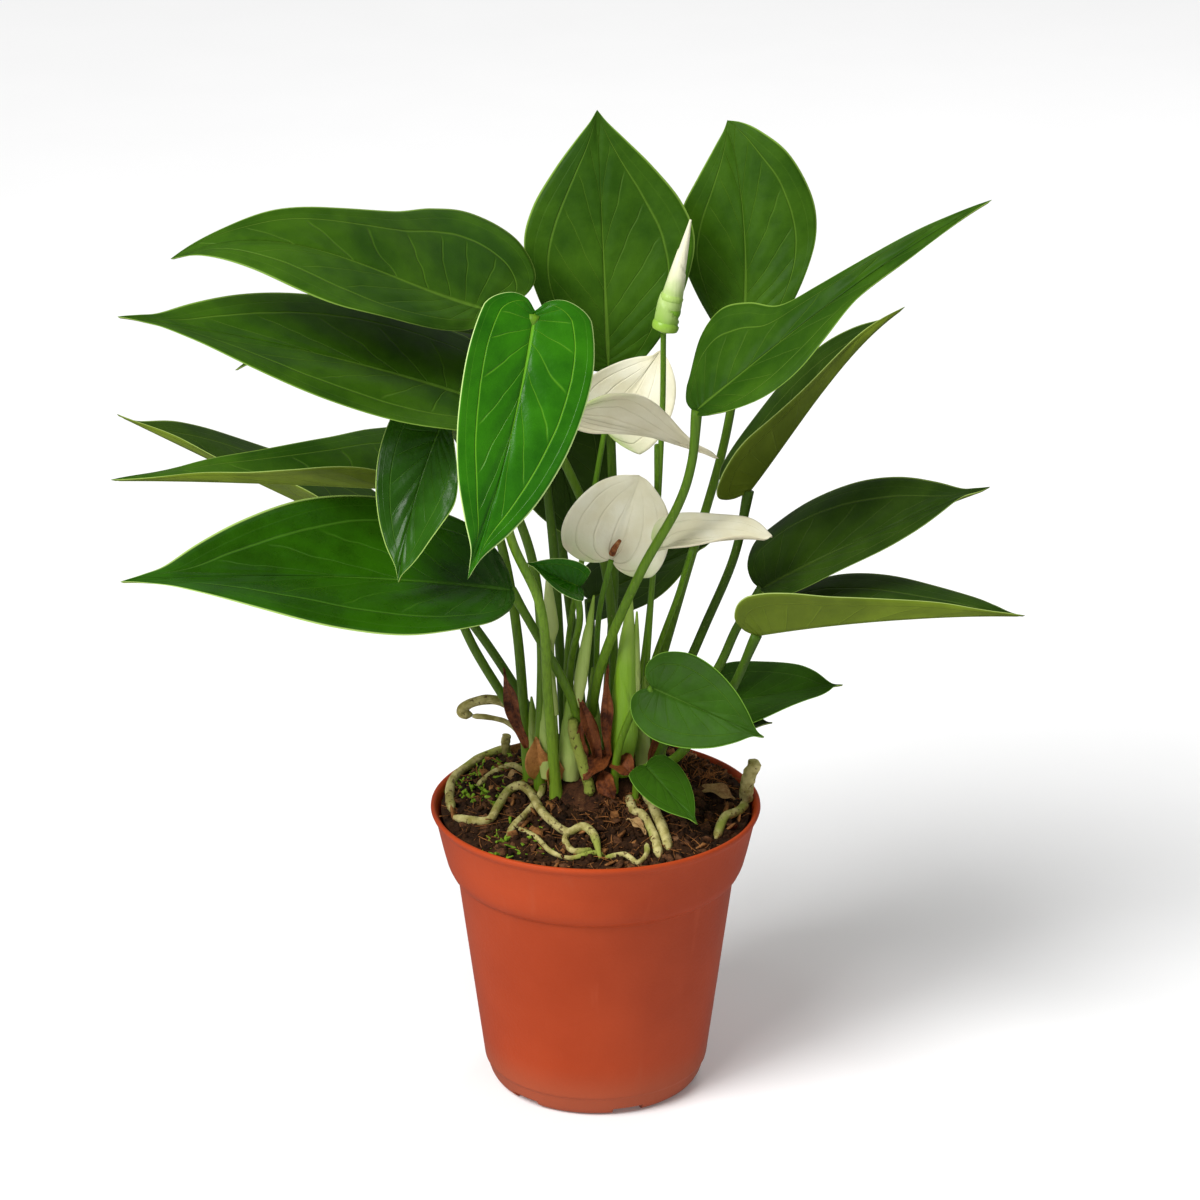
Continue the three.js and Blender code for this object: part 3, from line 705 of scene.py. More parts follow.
def skin_mesh(name, grid, s, r, thickness):
    """Two skins over a two-handed grid of points, offset along the surface's own normals."""
    made = bmesh.new()
    uv = made.loops.layers.uv.new("blade")
    count_s, count_r = len(s) - 1, len(r) - 1
    corner = {}

    def vertex(hand, i, j):
        if j == 0 or i in (0, count_s):
            hand = 0
        if i == count_s:
            j = 0
        key = (hand, i, j)
        if key not in corner:
            corner[key] = made.verts.new(grid[hand or 1][i, j])
        return corner[key]

    for hand in (1, -1):
        for i in range(count_s):
            for j in range(count_r):
                ring = [(i, j), (i, j + 1), (i + 1, j + 1), (i + 1, j)]
                if hand < 0:
                    ring.reverse()
                corners, seen = [], []
                for a, b in ring:
                    v = vertex(hand, a, b)
                    if v not in corners:
                        corners.append(v)
                        seen.append((s[a], r[b]))
                if len(corners) < 3:
                    continue
                face = made.faces.new(corners)
                for loop, coords in zip(face.loops, seen):
                    loop[uv].uv = coords
    made.normal_update()
    margin = {v for e in made.edges if e.is_boundary for v in e.verts}
    lower = {v: v.co - v.normal * thickness * (0.25 if v in margin else 1) for v in made.verts}
    faces = list(made.faces)
    twin = {v: made.verts.new(co) for v, co in lower.items()}
    for face in faces:
        back = made.faces.new([twin[v] for v in reversed(face.verts)])
        back.material_index = 1
        for loop, source in zip(back.loops, reversed(face.loops)):
            loop[uv].uv = source[uv].uv
    for edge in [e for e in made.edges if e.is_boundary and e.verts[0] in twin and e.verts[1] in twin]:
        loop = edge.link_loops[0]
        a, b = loop.vert, loop.link_loop_next.vert
        wall = made.faces.new([b, a, twin[a], twin[b]])
        for corner_loop in wall.loops:
            corner_loop[uv].uv = (0.5, 1.0)
    mesh = bpy.data.meshes.new(name)
    made.to_mesh(mesh)
    made.free()
    mesh.shade_smooth()
    return mesh


# Each leaf, in millimetres: base and tip of its midrib, the way its upper face looks, how far each of
# its halves reaches, and the route of its stalk up to the base. A pair holds a value for each half.
LEAVES = {
    "front_heart": dict(
        base=(-18, -38, 271), tip=(-38, -66, 197), face=(0.1, -1, 0.4), wide=(18.5, 20), arch=2,
        tone="bright", fold=(18, 12), bend=-2, lobe=0.5,
        stalk=[(-13, -9, 109), (-15, -14, 138), (-17, -24, 172), (-27, -34, 205), (-23, -36, 248)]),
    "upper_left": dict(
        base=(-34, -9, 263.5), tip=(-127, -25, 284), face=(0, -0.42, 0.9), wide=(44, 26), arch=10,
        arch_at=(0.4, 2.8), fold=(6, 12), lobe=1.1, outline=(LANCE, OVATE),
        stalk=[(5, 6, 109), (6, 10, 132), (2, 12, 176), (-18, 8, 226)]),
    "mid_left": dict(
        base=(-39, -22, 240), tip=(-142, -38, 270), face=(0, -0.2, 0.98), wide=(33, 30), arch=3,
        fold=(14, 8), outline=(BROAD, HEART),
        stalk=[(-18, -3, 109), (-17, -4, 150), (-20, -2, 180), (-30, -10, 212)]),
    "hanging_left": dict(
        base=(-46.5, -28, 233), tip=(-59.5, -50, 190), face=(-0.35, -0.9, 0.25), wide=(15, 15),
        fold=(18, 24), bend=2, tone="rich", lobe=0.3, outline=(BROAD, OVATE),
        stalk=[(-22, 4, 109), (-25, 10, 150), (-31, 16, 182), (-42, 0, 218)]),
    "side_left_far": dict(
        base=(-72, 50, 168), tip=(-155, 56, 208), face=(0, 0, 1), wide=(30, 13), fold=(12, 44),
        outline=(HEART, SLENDER), tone="dark",
        stalk=[(-18, 16, 109), (-24, 24, 122), (-46, 42, 148)]),
    "side_left": dict(
        base=(-55, 0, 202), tip=(-150, -8, 208), face=(0, -0.05, 1), wide=(36, 9), arch=1,
        fold=(18, 66), outline=(LANCE, SLENDER),
        stalk=[(-22, 10, 109), (-26, 13, 120), (-40, 15, 145), (-49, 13, 172)]),
    "low_left": dict(
        base=(-26, -25, 178), tip=(-143, -52, 191), face=(0, -0.33, 0.94), wide=(35, 30), arch=4,
        fold=(15, 13), outline=TAPERED, tone="rich",
        stalk=[(-3, -3, 109), (-5, -6, 125), (-9.5, -10, 140), (-19, -16, 161)]),
    "top_centre": dict(
        base=(4, 34, 231), tip=(0.5, 52, 310), face=(-0.15, -1, 0.25), wide=(29, 25), outline=OVATE,
        fold=(4, 8),
        stalk=[(3, 18, 109), (4, 19, 128), (6, 23, 170)]),
    "top_right": dict(
        base=(47, 50, 236), tip=(42, 70, 302), face=(-0.25, -1, 0.2), wide=(23, 22),
        outline=(FULL, OVATE), fold=(6, 6), bend=3,
        stalk=[(14, 19, 109), (19, 21, 128), (29, 34, 160), (41, 45, 200)]),
    "upper_right": dict(
        base=(31, -16, 233.5), tip=(118, -24, 302), face=(-0.57, -0.48, 0.67), wide=(15.5, 25), arch=5,
        arch_at=(0.8, 1.4), fold=(12, 12), lobe=0.6, outline=(SLENDER, EARED),
        stalk=[(-1, 2, 109), (-1, -1, 128), (3, -8, 150), (14, -20, 182), (25, -20, 203),
               (29.5, -18, 217)]),
    "folded_right": dict(
        base=(48.6, 20, 194.7), tip=(97.5, 34, 251), face=(-0.8, 0.1, 0.5), wide=(14, 20),
        fold=(62, 40), arch=3, arch_at=(0.4, 2.2), tone="dark", lobe=0.6, outline=(LANCE, HEART),
        stalk=[(20, 8, 109), (23, 10, 122), (34, 15, 148), (44, 19, 172)]),
    "mid_right": dict(
        base=(52.6, 4, 167.5), tip=(122.4, -6, 205), face=(-0.3, -0.3, 0.9), wide=(12.5, 31), arch=2,
        fold=(10, 6), tone="dark", outline=(TAPERED, HEART),
        stalk=[(19, 2, 109), (24, 4, 118), (38, 5, 138), (45, 5, 154)]),
    "lower_right": dict(
        base=(50.4, -16, 159.8), tip=(133, -22, 168.4), face=(0, 0.15, 0.98), wide=(16.5, 28), arch=2,
        fold=(66, 26), tone="dark", lobe=0.4, outline=(LANCE, TAPERED),
        stalk=[(20, -6, 109), (27, -8, 116), (41, -12, 136)]),
    "small_right": dict(
        base=(38, 12, 125), tip=(79, 8, 133), face=(-0.2, -0.25, 0.95), wide=(14.5, 18), fold=(12, 12),
        tone="plain", quilt=0.0, thick=1.3,
        stalk=[(22, 14, 109), (28, 13.5, 114)]),
    "round_front": dict(
        base=(18, -22, 144), tip=(52, -40, 135), face=(0.1, -1, 0.35), wide=(14.5, 14.5), lobe=1,
        tone="plain", quilt=0.0, ripple=0.4, thick=1.3,
        stalk=[(6, -10, 109), (8, -12, 122), (13, -16, 136)]),
    "soil_leaf": dict(
        base=(16, -16, 115), tip=(32, -32, 102), face=(0.2, -0.6, 0.75), wide=(8.5, 8.5), tone="plain",
        thick=0.9, ripple=0.2,
        stalk=[(13, -11, 109), (14.5, -13.5, 112.4)]),
    "low_back_right": dict(
        base=(36, 21, 112), tip=(57, 15, 117), face=(0, -0.2, 1), wide=(8, 8), tone="dark", thick=0.9,
        ripple=0.2,
        stalk=[(18, 21.5, 108.7), (27, 21.5, 110.5)]),
    "back_left": dict(
        base=(-29, 24, 243), tip=(-114, 31, 231), face=(0, 0, 1), wide=(23, 23), arch=9, tone="dark",
        stalk=[(-10, 17, 109), (-11, 18, 130), (-14, 24, 180), (-20, 25, 222)]),
    "behind_stalks": dict(
        base=(-14, 34, 213), tip=(-4, 38, 167), face=(0, -1, 0.2), wide=(17, 17), tone="dark",
        stalk=[(-4, 22.5, 109), (-6, 30, 130), (-12, 46, 175), (-15, 44, 203)]),
    "behind_flowers": dict(
        base=(-2, 48, 147), tip=(39, 54, 166), face=(-0.2, -0.3, 0.95), wide=(17, 17), tone="dark",
        stalk=[(1, 24.5, 108.7), (-1, 33, 122)]),
}

for order, (name, spec) in enumerate(LEAVES.items()):
    tone = spec.get("tone", "mid")
    young = tone == "bright"
    mesh = blade_mesh("blade_" + name, {"seed": 1.7 * order, **spec})
    skins = [UPPER[tone], LOWER["bright" if young else "mid"]]
    piece("blade_" + name, mesh, skins, "leaf_young" if young else "leaf", "leaf_" + name)

# The newest leaf, small and still curled.
curled = dict(
    base=(-5, -9, 173), tip=(-21.5, -17, 184), face=(0.3, -0.6, 0.7), wide=(7, 7.5), fold=(40, 30),
    curl=(0.3, -0.2), ripple=0.3, seed=2)
piece("young_leaf_blade", blade_mesh("young_leaf_blade", curled, around=40, across=10),
      [UPPER["bright"], LOWER["bright"]], "leaf_young", "young_leaf")


# ---- Stalks ----------------------------------------------------------------------------------
# Round, slightly grooved stalks. Each widens at its foot, where it wraps the crown, and thickens
# again in the short knee below its blade, which turns the leaf to the light.

def stalk_finish(name, foot, head, rough=0.38):
    finish, shader, wire = start_finish(name)
    along = wire.of_map("along", "Y")
    place = place_on(wire)
    fibre = speckle(wire, drawn_out(wire, place, 0.06), 1500, 3)
    cloud = speckle(wire, place, 70, 3)
    flecks = speckle(wire, place, 1300, 1).between(0.7, 0.76)
    body = (0.8 * along + 0.5 * cloud - 0.15).between(0.1, 0.9).blend(foot, head)
    darker = fibre.between(0.35, 0.65).blend((0.03, 0.07, 0.006), body)
    streaked = (fibre * 0.5 + 0.5).blend(darker, body)
    color = (flecks * 0.5).blend(streaked, (0.28, 0.26, 0.1))
    end_finish(shader, wire, fibre, 0.0001, {"Specular IOR Level": 0.3},
               Base_Color=color, Roughness=rough + 0.15 * cloud)
    return finish


STALK = {
    "mid": stalk_finish("stalk_green", (0.15, 0.28, 0.01), (0.085, 0.18, 0.008)),
    "dark": stalk_finish("stalk_dark", (0.1, 0.2, 0.008), (0.055, 0.12, 0.006)),
    "bright": stalk_finish("stalk_bright", (0.2, 0.33, 0.02), (0.12, 0.27, 0.01)),
}
STALK["rich"] = STALK["plain"] = STALK["mid"]


STALK_R, FLOWER_STALK_R = 1.6, 1.0
FOOT_FLARE, TAPER, KNEE = 0.75, 0.12, 0.22


def stalk_piece(name, route, end, thick, tone, node, clear=0.3, knee=KNEE):
    """A stalk along its route in millimetres, from under the mix to just short of what it carries."""
    points = [np.array(point, float) * MM for point in [*route, end]]
    last = points[-1] - points[-2]
    points[-1] -= last / np.linalg.norm(last) * clear * MM
    x, y = points[0][:2] * 0.95
    points.insert(0, np.array([x, y, min(mix_height(x, y), points[0][2]) - 3 * MM]))

    def radius_at(t):
        foot = FOOT_FLARE * math.exp(-t / 0.12)
        head = knee * math.exp(-((1 - t) / 0.07) ** 2)
        return thick * MM * (1 + foot - TAPER * t + head)

    def groove(t, turn):
        return -0.08 * math.exp(-((turn - math.pi) / 0.5) ** 2)

    piece(name, tube_mesh(name, points, radius_at, 16, 64, groove), [STALK[tone]], "stalk", node)


for name, spec in LEAVES.items():
    stalk_piece("stem_" + name, spec["stalk"], spec["base"], spec.get("thick", STALK_R),
                spec.get("tone", "mid"), "stalk_" + name)
stalk_piece("stem_young_leaf", [(-8, 3, 109), (-8, 2, 140), (-5, -5, 160), (-6, -7.5, 171)],
            (-6.8, -8.8, 174.6), 1.2, "bright", "stalk_young_leaf", clear=1.0)


# ---- Spathes ---------------------------------------------------------------------------------
# Waxy cream bracts on thin stalks. Each is creased along a few curved veins that run from base to
# tip and is tinged green at its base; the round one holds the stub of a spadix whose end has dried brown.

BLUNT = [(-0.02, 0), (-0.12, 0.2), (-0.15, 0.5), (-0.05, 0.82), (0.15, 0.99),
         (0.38, 1), (0.6, 0.88), (0.79, 0.66), (0.92, 0.38), (0.98, 0.16), (1, 0)]
PEAKED = [(-0.02, 0), (0.02, 0.16), (0.1, 0.42), (0.21, 0.74), (0.34, 1), (0.44, 0.86),
          (0.55, 0.56), (0.67, 0.32), (0.8, 0.17), (0.92, 0.09), (1, 0)]


def spathe_finish(name, cream, shade, green, tinge):
    finish, shader, wire = start_finish(name)
    way, out = (wire.of_map("blade", axis) for axis in "XY")
    place = place_on(wire)
    cloud = speckle(wire, place, 90, 4)
    fine = speckle(wire, place, 900, 3)
    rings = abs((out * 3.2 + 0.3 * cloud).fraction() - 0.5)
    vein = rings.between(0.0, 0.1, 1.0, 0.0) * way.between(0.3, 0.95, 1.0, 0.2)
    body = cloud.between(0.3, 0.7).blend(shade, cream)
    # The creases along the veins are drawn toward the darker colour: painted shade in the creases.
    veined = (0.4 * vein).blend(body, shade)
    near_base = way.between(0.08, 0.5, 1.0, 0.0) * out.between(0.3, 0.95, 0.15, 1.0)
    near_base = near_base * cloud.between(0.35, 0.6)
    color = (near_base * tinge).blend(veined, green)
    end_finish(shader, wire, 0.2 * fine + 0.3 * cloud - 0.5 * vein, 0.0004, {"Specular IOR Level": 0.35},
               Base_Color=color, Roughness=0.42 + 0.15 * cloud)
    return finish


spathe_inner = spathe_finish("spathe_inner", (0.87, 0.84, 0.66), (0.77, 0.72, 0.5), (0.42, 0.6, 0.12), 0.9)
# The outer face is a darker copy of the inner one: partly its own duller cream, partly painted shade on the
# backs.
spathe_outer_painted_shade = spathe_finish("spathe_outer_painted_shade", (0.76, 0.71, 0.53), (0.66, 0.6, 0.4), (0.38, 0.5, 0.12), 0.8)
SPATHE_T = 0.6 * MM

# Each spathe, in millimetres, as a leaf is given; "joint" is where the stalk meets it.
FLOWERS = {
    "spathe_back": dict(
        base=(3, 22, 214.5), tip=(20.5, 26, 239), face=(0.1, -0.9, 0.4), wide=(15.5, 14.5),
        curl=(0.15, 0.1), fold=(4, 4), outline=(BLUNT, BROAD), lobe=0.3,
        stalk=[(-9, 10, 109), (-9, 12, 143), (-4, 18, 174)]),
    "spathe_front": dict(
        base=(-7, -6, 229), tip=(38, -8, 215), face=(0.1, 0.85, 0.5), wide=(19, 6), arch=2,
        curl=(-0.25, -0.3), fold=(6, 6), outline=(PEAKED, LANCE), joint=(19, -7, 219),
        stalk=[(15, 1, 109), (16, 5, 134), (19, 7, 190)]),
    "spathe_round": dict(
        base=(5, 1, 178.5), tip=(14, 1, 206), face=(-0.1, -0.95, 0.3), wide=(16, 18), curl=(0.1, 0.25),
        fold=(4, 8), outline=BLUNT,
        stalk=[(-1, 8.5, 109), (0, 7, 129), (1, 3, 158)]),
    "spathe_side": dict(
        base=(21.5, -15.5, 188.6), tip=(54.8, -12, 191), face=(0, -0.25, 1), wide=(3.5, 13), arch=1,
        curl=(0.4, 0.1), fold=(12, 4), outline=BLUNT, joint=(30, -14, 188),
        stalk=[(14, 7, 109), (17, 13, 133), (26, 2, 166)]),
}
for order, (name, spec) in enumerate(FLOWERS.items()):
    spec = {"seed": 3.1 * order, "lobe": 0.7, "quilt": 0.0, **spec}
    mesh = blade_mesh(name + "_blade", spec, around=60, across=16, thickness=SPATHE_T, sweep=1.6)
    piece(name + "_blade", mesh, [spathe_inner, spathe_outer_painted_shade], "spathe", name)
    stalk_piece("stem_" + name, spec["stalk"], spec.get("joint", spec["base"]), FLOWER_STALK_R, "bright",
                "stalk_" + name, knee=0)

# The stub of a spadix in the round spathe, dried brown.
spadix_finish = earthy_finish("dry_spadix", (0.12, 0.03, 0.01), (0.3, 0.1, 0.03), (0.7, 0.6, 0.3), 500,
                              0.0003)
spadix_path = [np.array(point) * MM for point in ((5.2, 0.2, 180.5), (6, -1.5, 183), (7.6, -2.8, 186))]
spadix_mesh = tube_mesh("spadix_stub", spadix_path, lambda t: (1.1 - 0.5 * t * t) * MM, 12, 16)
piece("spadix_stub", spadix_mesh, [spadix_finish], "spathe")


# ---- Flower bud ------------------------------------------------------------------------------
# A spathe still rolled round its spadix, cream and pointed, on a straight stalk of its own. Three
# glossy green wraps swell one above another at its foot.

def rolled_mesh(name, foot, tip, radius_at, wraps, step=0.14, sides=48, count=80):
    """A pointed roll from foot to tip whose outer edge climbs round it as a low step."""
    foot, tip = (np.array(point, float) * MM for point in (foot, tip))
    path = [foot + (tip - foot) * t for t in (0, 0.35, 0.7, 1)]

    def lump(t, turn):
        return step * (((turn / (2 * math.pi)) + wraps * t) % 1)

    return tube_mesh(name, path, lambda t: radius_at(t) * MM, sides, count, lump)


def rolled_finish(name, foot, middle, head, turn_at, rough=0.34):
    finish, shader, wire = start_finish(name)
    along = wire.of_map("along", "Y")
    place = place_on(wire)
    cloud = speckle(wire, place, 160, 3)
    fibre = speckle(wire, drawn_out(wire, place, 0.08), 1100, 3)
    way = along + 0.25 * (cloud - 0.5)
    low = way.between(0.0, turn_at).blend(foot, middle)
    color = way.between(turn_at, turn_at + 0.3).blend(low, head)
    end_finish(shader, wire, fibre + cloud, 0.00018, {"Specular IOR Level": 0.5},
               Base_Color=color, Roughness=rough + 0.15 * fibre)
    return finish


bud_finish = rolled_finish("bud_skin", (0.25, 0.45, 0.05), (0.45, 0.6, 0.2), (0.86, 0.83, 0.6), 0.28)
collar_finish = rolled_finish("bud_collar", (0.3, 0.5, 0.06), (0.2, 0.42, 0.03), (0.4, 0.58, 0.14), 0.5,
                              0.26)
BUD_FOOT, BUD_TIP = np.array((21, 0, 254)), np.array((29, 0, 289))


def bud_radius(t):
    """Full above its foot, then drawn out to a point."""
    return 3.4 * min(0.75 + 3 * t, 1) * (1 - 0.92 * max(t - 0.22, 0) / 0.78) ** 1.15 + 0.12


def collar_radius(t):
    """Three swollen turns, one above another, drawn in at both ends."""
    turns = abs(math.sin(math.pi * (3 * t + 0.04))) ** 0.7
    return (3.1 + 0.95 * turns - 0.9 * t) * min(1, 0.5 + 8 * t)


roll = rolled_mesh("bud_roll", BUD_FOOT, BUD_TIP, bud_radius, 2.6)
piece("bud_roll", roll, [bud_finish], "spathe", "flower_bud")
collar_top = BUD_FOOT + (BUD_TIP - BUD_FOOT) * 0.36
collar = rolled_mesh("bud_wraps", BUD_FOOT - (0, 0, 0.6), collar_top, collar_radius, 1.5, 0.1)
piece("bud_wraps", collar, [collar_finish], "spathe")
stalk_piece("stem_flower_bud", [(9, 12, 109), (14, 10, 131), (18.5, 11, 173), (20.8, 10, 222)],
            (20.9, 0, 254.5), FLOWER_STALK_R, "bright", "stalk_flower_bud", 0.2, 0)


# ---- Sheaths and bracts ----------------------------------------------------------------------
# Thin pale sheaths that stalks and new leaves push out of, one of them swollen and bright green, and
# a young cream bud. Older ones have dried to red-brown papery scales round the crown.

def swelling(low, peak, high, at, spread):
    """A radius, in millimetres, that swells from low to its peak at one place and thins to high."""
    def radius(t):
        if t < at:
            return low + (peak - low) * math.exp(-((t - at) / spread) ** 2)
        return high + (peak - high) * (1 - ((t - at) / (1 - at)) ** 1.3)
    return radius


sheath_finish = rolled_finish("sheath_skin", (0.2, 0.4, 0.015), (0.24, 0.45, 0.02), (0.3, 0.46, 0.06),
                              0.5, 0.38)
pale_finish = rolled_finish("pale_sheath", (0.46, 0.56, 0.16), (0.36, 0.5, 0.1), (0.26, 0.42, 0.04),
                            0.5, 0.42)
cream_finish = rolled_finish("young_bud_skin", (0.22, 0.36, 0.03), (0.42, 0.5, 0.16), (0.6, 0.6, 0.32),
                             0.85, 0.42)
swollen = swelling(2.6, 4.3, 0.3, 0.22, 0.16)
sheath = rolled_mesh("sheath_roll", (8, -4, 107), (11, -5, 172), swollen, 1.1, 0.12)
piece("sheath_roll", sheath, [sheath_finish], "sheath", "sheath_large")
drooping = swelling(0.7, 2.4, 0.2, 0.68, 0.06)
young_bud = rolled_mesh("young_bud_roll", (-12, -3.5, 108.7), (-15, -6, 178), drooping, 1.4, 0.1)
piece("young_bud_roll", young_bud, [cream_finish], "spathe", "young_bud")

# Smaller rolled sheaths, in millimetres: foot, tip, widest radius, and where it is widest.
SHEATHS = {
    "sheath_leaning": ((-6, -7, 132), (-0.5, -9, 170), 2.0, 0.3),
    "sheath_slim": ((-12.5, -5, 128), (-15.5, -7, 161), 1.0, 0.3),
    "sheath_twin": ((12.5, -4, 130), (13, -5, 163), 1.5, 0.3),
    "wrap_left": ((-15, -3.5, 106), (-15.8, -4.5, 140), 3.0, 0.2),
    "wrap_middle": ((-8, -5, 106), (-8.5, -6, 136), 3.4, 0.25),
    "wrap_back": ((-1, 1, 106), (-1, 0, 142), 3.2, 0.2),
    "wrap_right": ((15, 1, 105), (15.5, 3, 138), 2.4, 0.2),
    "wrap_far_left": ((-19, 5, 105), (-20.5, 5, 130), 2.6, 0.2),
}
for name, (foot, tip, widest, at) in SHEATHS.items():
    roll = rolled_mesh(name, foot, tip, swelling(widest * 0.75, widest, 0.3, at, 0.2), 1.2, 0.1)
    piece(name, roll, [pale_finish], "sheath")

scale_finish = earthy_finish("dry_scale", (0.05, 0.012, 0.004), (0.2, 0.055, 0.014), (0.4, 0.15, 0.04),
                             180, 0.0004, 0.5)
tan_finish = earthy_finish("tan_scale", (0.3, 0.12, 0.03), (0.5, 0.22, 0.06), (0.7, 0.42, 0.16),
                           160, 0.0004, 0.5)
straw_finish = earthy_finish("dry_straw", (0.2, 0.1, 0.035), (0.4, 0.25, 0.1), (0.62, 0.46, 0.24),
                             200, 0.0004, 0.6)
SCALE_T = 0.3 * MM
# Papery scales and dry leaf ends, in millimetres: base, tip, way they face, half width, finish.
SCALES = {
    "scale_far_left": ((-22, -3, 116), (-29, -4, 144), (-0.5, -0.9, 0.1), 2.6, scale_finish),
    "scale_sheath": ((4.6, -7.5, 112), (4, -8, 147), (-0.5, -0.9, 0), 2.0, scale_finish),
    "scale_middle": ((1, -8, 112), (-6, -8, 137), (0.4, -0.9, 0.2), 2.8, scale_finish),
    "scale_inner": ((-4, -8, 110), (-4.5, -9, 128), (-0.3, -0.9, 0.2), 2.2, scale_finish),
    "scale_heap_left": ((4, -6, 115), (-4, -14, 109), (0.1, -0.6, 0.9), 4.0, scale_finish),
    "scale_heap_right": ((5, -7, 114), (12, -13, 110), (0.2, -0.7, 0.8), 4.2, scale_finish),
    "scale_heap_low": ((2, -10, 110), (6, -15, 103), (-0.2, -0.9, 0.5), 3.6, scale_finish),
    "scale_right": ((17, -2, 110), (20, -5, 138), (0.6, -0.8, 0), 2.0, scale_finish),
    "scale_tan": ((-17, -3, 104), (-19, -6, 121), (-0.2, -1, 0.2), 4.6, tan_finish),
    "scale_tan_low": ((-14, -5, 104), (-13, -9, 116), (0.3, -1, 0.2), 3.4, tan_finish),
    "dry_end_left": ((-15, 4, 105), (-14, -6, 101), (0.2, -0.4, 0.9), 2.2, straw_finish),
    "dry_end_middle": ((-1, -4, 106), (2, -13, 100), (0.2, -0.4, 0.9), 2.4, straw_finish),
    "dry_end_right": ((34, 4, 98.5), (45, -1, 96.5), (0.1, -0.3, 1), 2.8, straw_finish),
    "dry_end_far_left": ((-30, 9, 100), (-23, 5, 101), (-0.1, -0.3, 1), 1.8, straw_finish),
    "dry_end_front": ((10, -20, 98.5), (16, -28, 96.5), (0.3, -0.3, 1), 1.6, straw_finish),
}
for order, (name, (foot, tip, face, reach, finish)) in enumerate(SCALES.items()):
    spec = dict(
        base=foot, tip=tip, face=face, wide=(reach, reach), fold=(24, 20), curl=(-0.2, 0.3), ripple=0.7,
        seed=order, quilt=0.06, arch=1.2)
    scale = blade_mesh(name, spec, OVATE, 28, 8, SCALE_T, 1.6)
    piece(name, scale, [finish, finish], "sheath")


# ---- Crown -----------------------------------------------------------------------------------
# The short old stem that everything grows from: a dark knobbly stub, wrapped in rotted leaf bases and
# mostly buried in the mix.

crown_finish = earthy_finish("crown_husk", (0.02, 0.008, 0.004), (0.08, 0.03, 0.012), (0.2, 0.1, 0.04), 240)
CROWN_R, CROWN_Y = 21 * MM, 5 * MM
CROWN_LOW, CROWN_TOP = 99 * MM, 108 * MM
KNOB_H = 1.3 * MM


def crown_mesh():
    """A low knobbly dome: the old stem, mostly buried."""
    rings, steps = 40, 96
    vertices = [(0, CROWN_Y, CROWN_TOP)]
    for ring in range(1, rings + 1):
        out = ring / rings
        rise = (CROWN_TOP - CROWN_LOW) * (1 - out ** 3)
        for x, y in circle(CROWN_R * ring / rings, steps):
            knobs = noise.fractal((x * 160, y * 160, 1), 1.0, 2.0, 4) * (1 - out)
            vertices.append((x, y + CROWN_Y, CROWN_LOW + rise + KNOB_H * knobs))
    base = range(len(vertices) - steps, len(vertices))
    return mesh_from("crown_body", vertices, [*net(rings, steps), tuple(reversed(base))])


piece("crown_body", crown_mesh(), [crown_finish], "crown", "crown")


# ---- Roots -----------------------------------------------------------------------------------
# Thick corky aerial roots, pale olive with brown scars. They leave the crown, wander over the mix and
# along the rim, and dive back in. A few stand clear as blunt stubs or loops.

def root_finish():
    finish, shader, wire = start_finish("root_cork")
    place = place_on(wire)
    blotch = speckle(wire, place, 260, 5, 0.6)
    fine = speckle(wire, place, 1400, 3)
    scars = speckle(wire, place, 700, 2).between(0.62, 0.7)
    pale = blotch.between(0.35, 0.65).blend((0.27, 0.23, 0.06), (0.54, 0.48, 0.2))
    green = speckle(wire, place, 45, 2).between(0.5, 0.62).blend(pale, (0.26, 0.31, 0.05))
    color = (0.8 * scars).blend(green, (0.1, 0.045, 0.02))
    end_finish(shader, wire, blotch + 0.4 * fine - 0.6 * scars, 0.0006, {"Specular IOR Level": 0.25},
               Base_Color=color, Roughness=0.7 + 0.15 * fine)
    return finish


cork = root_finish()
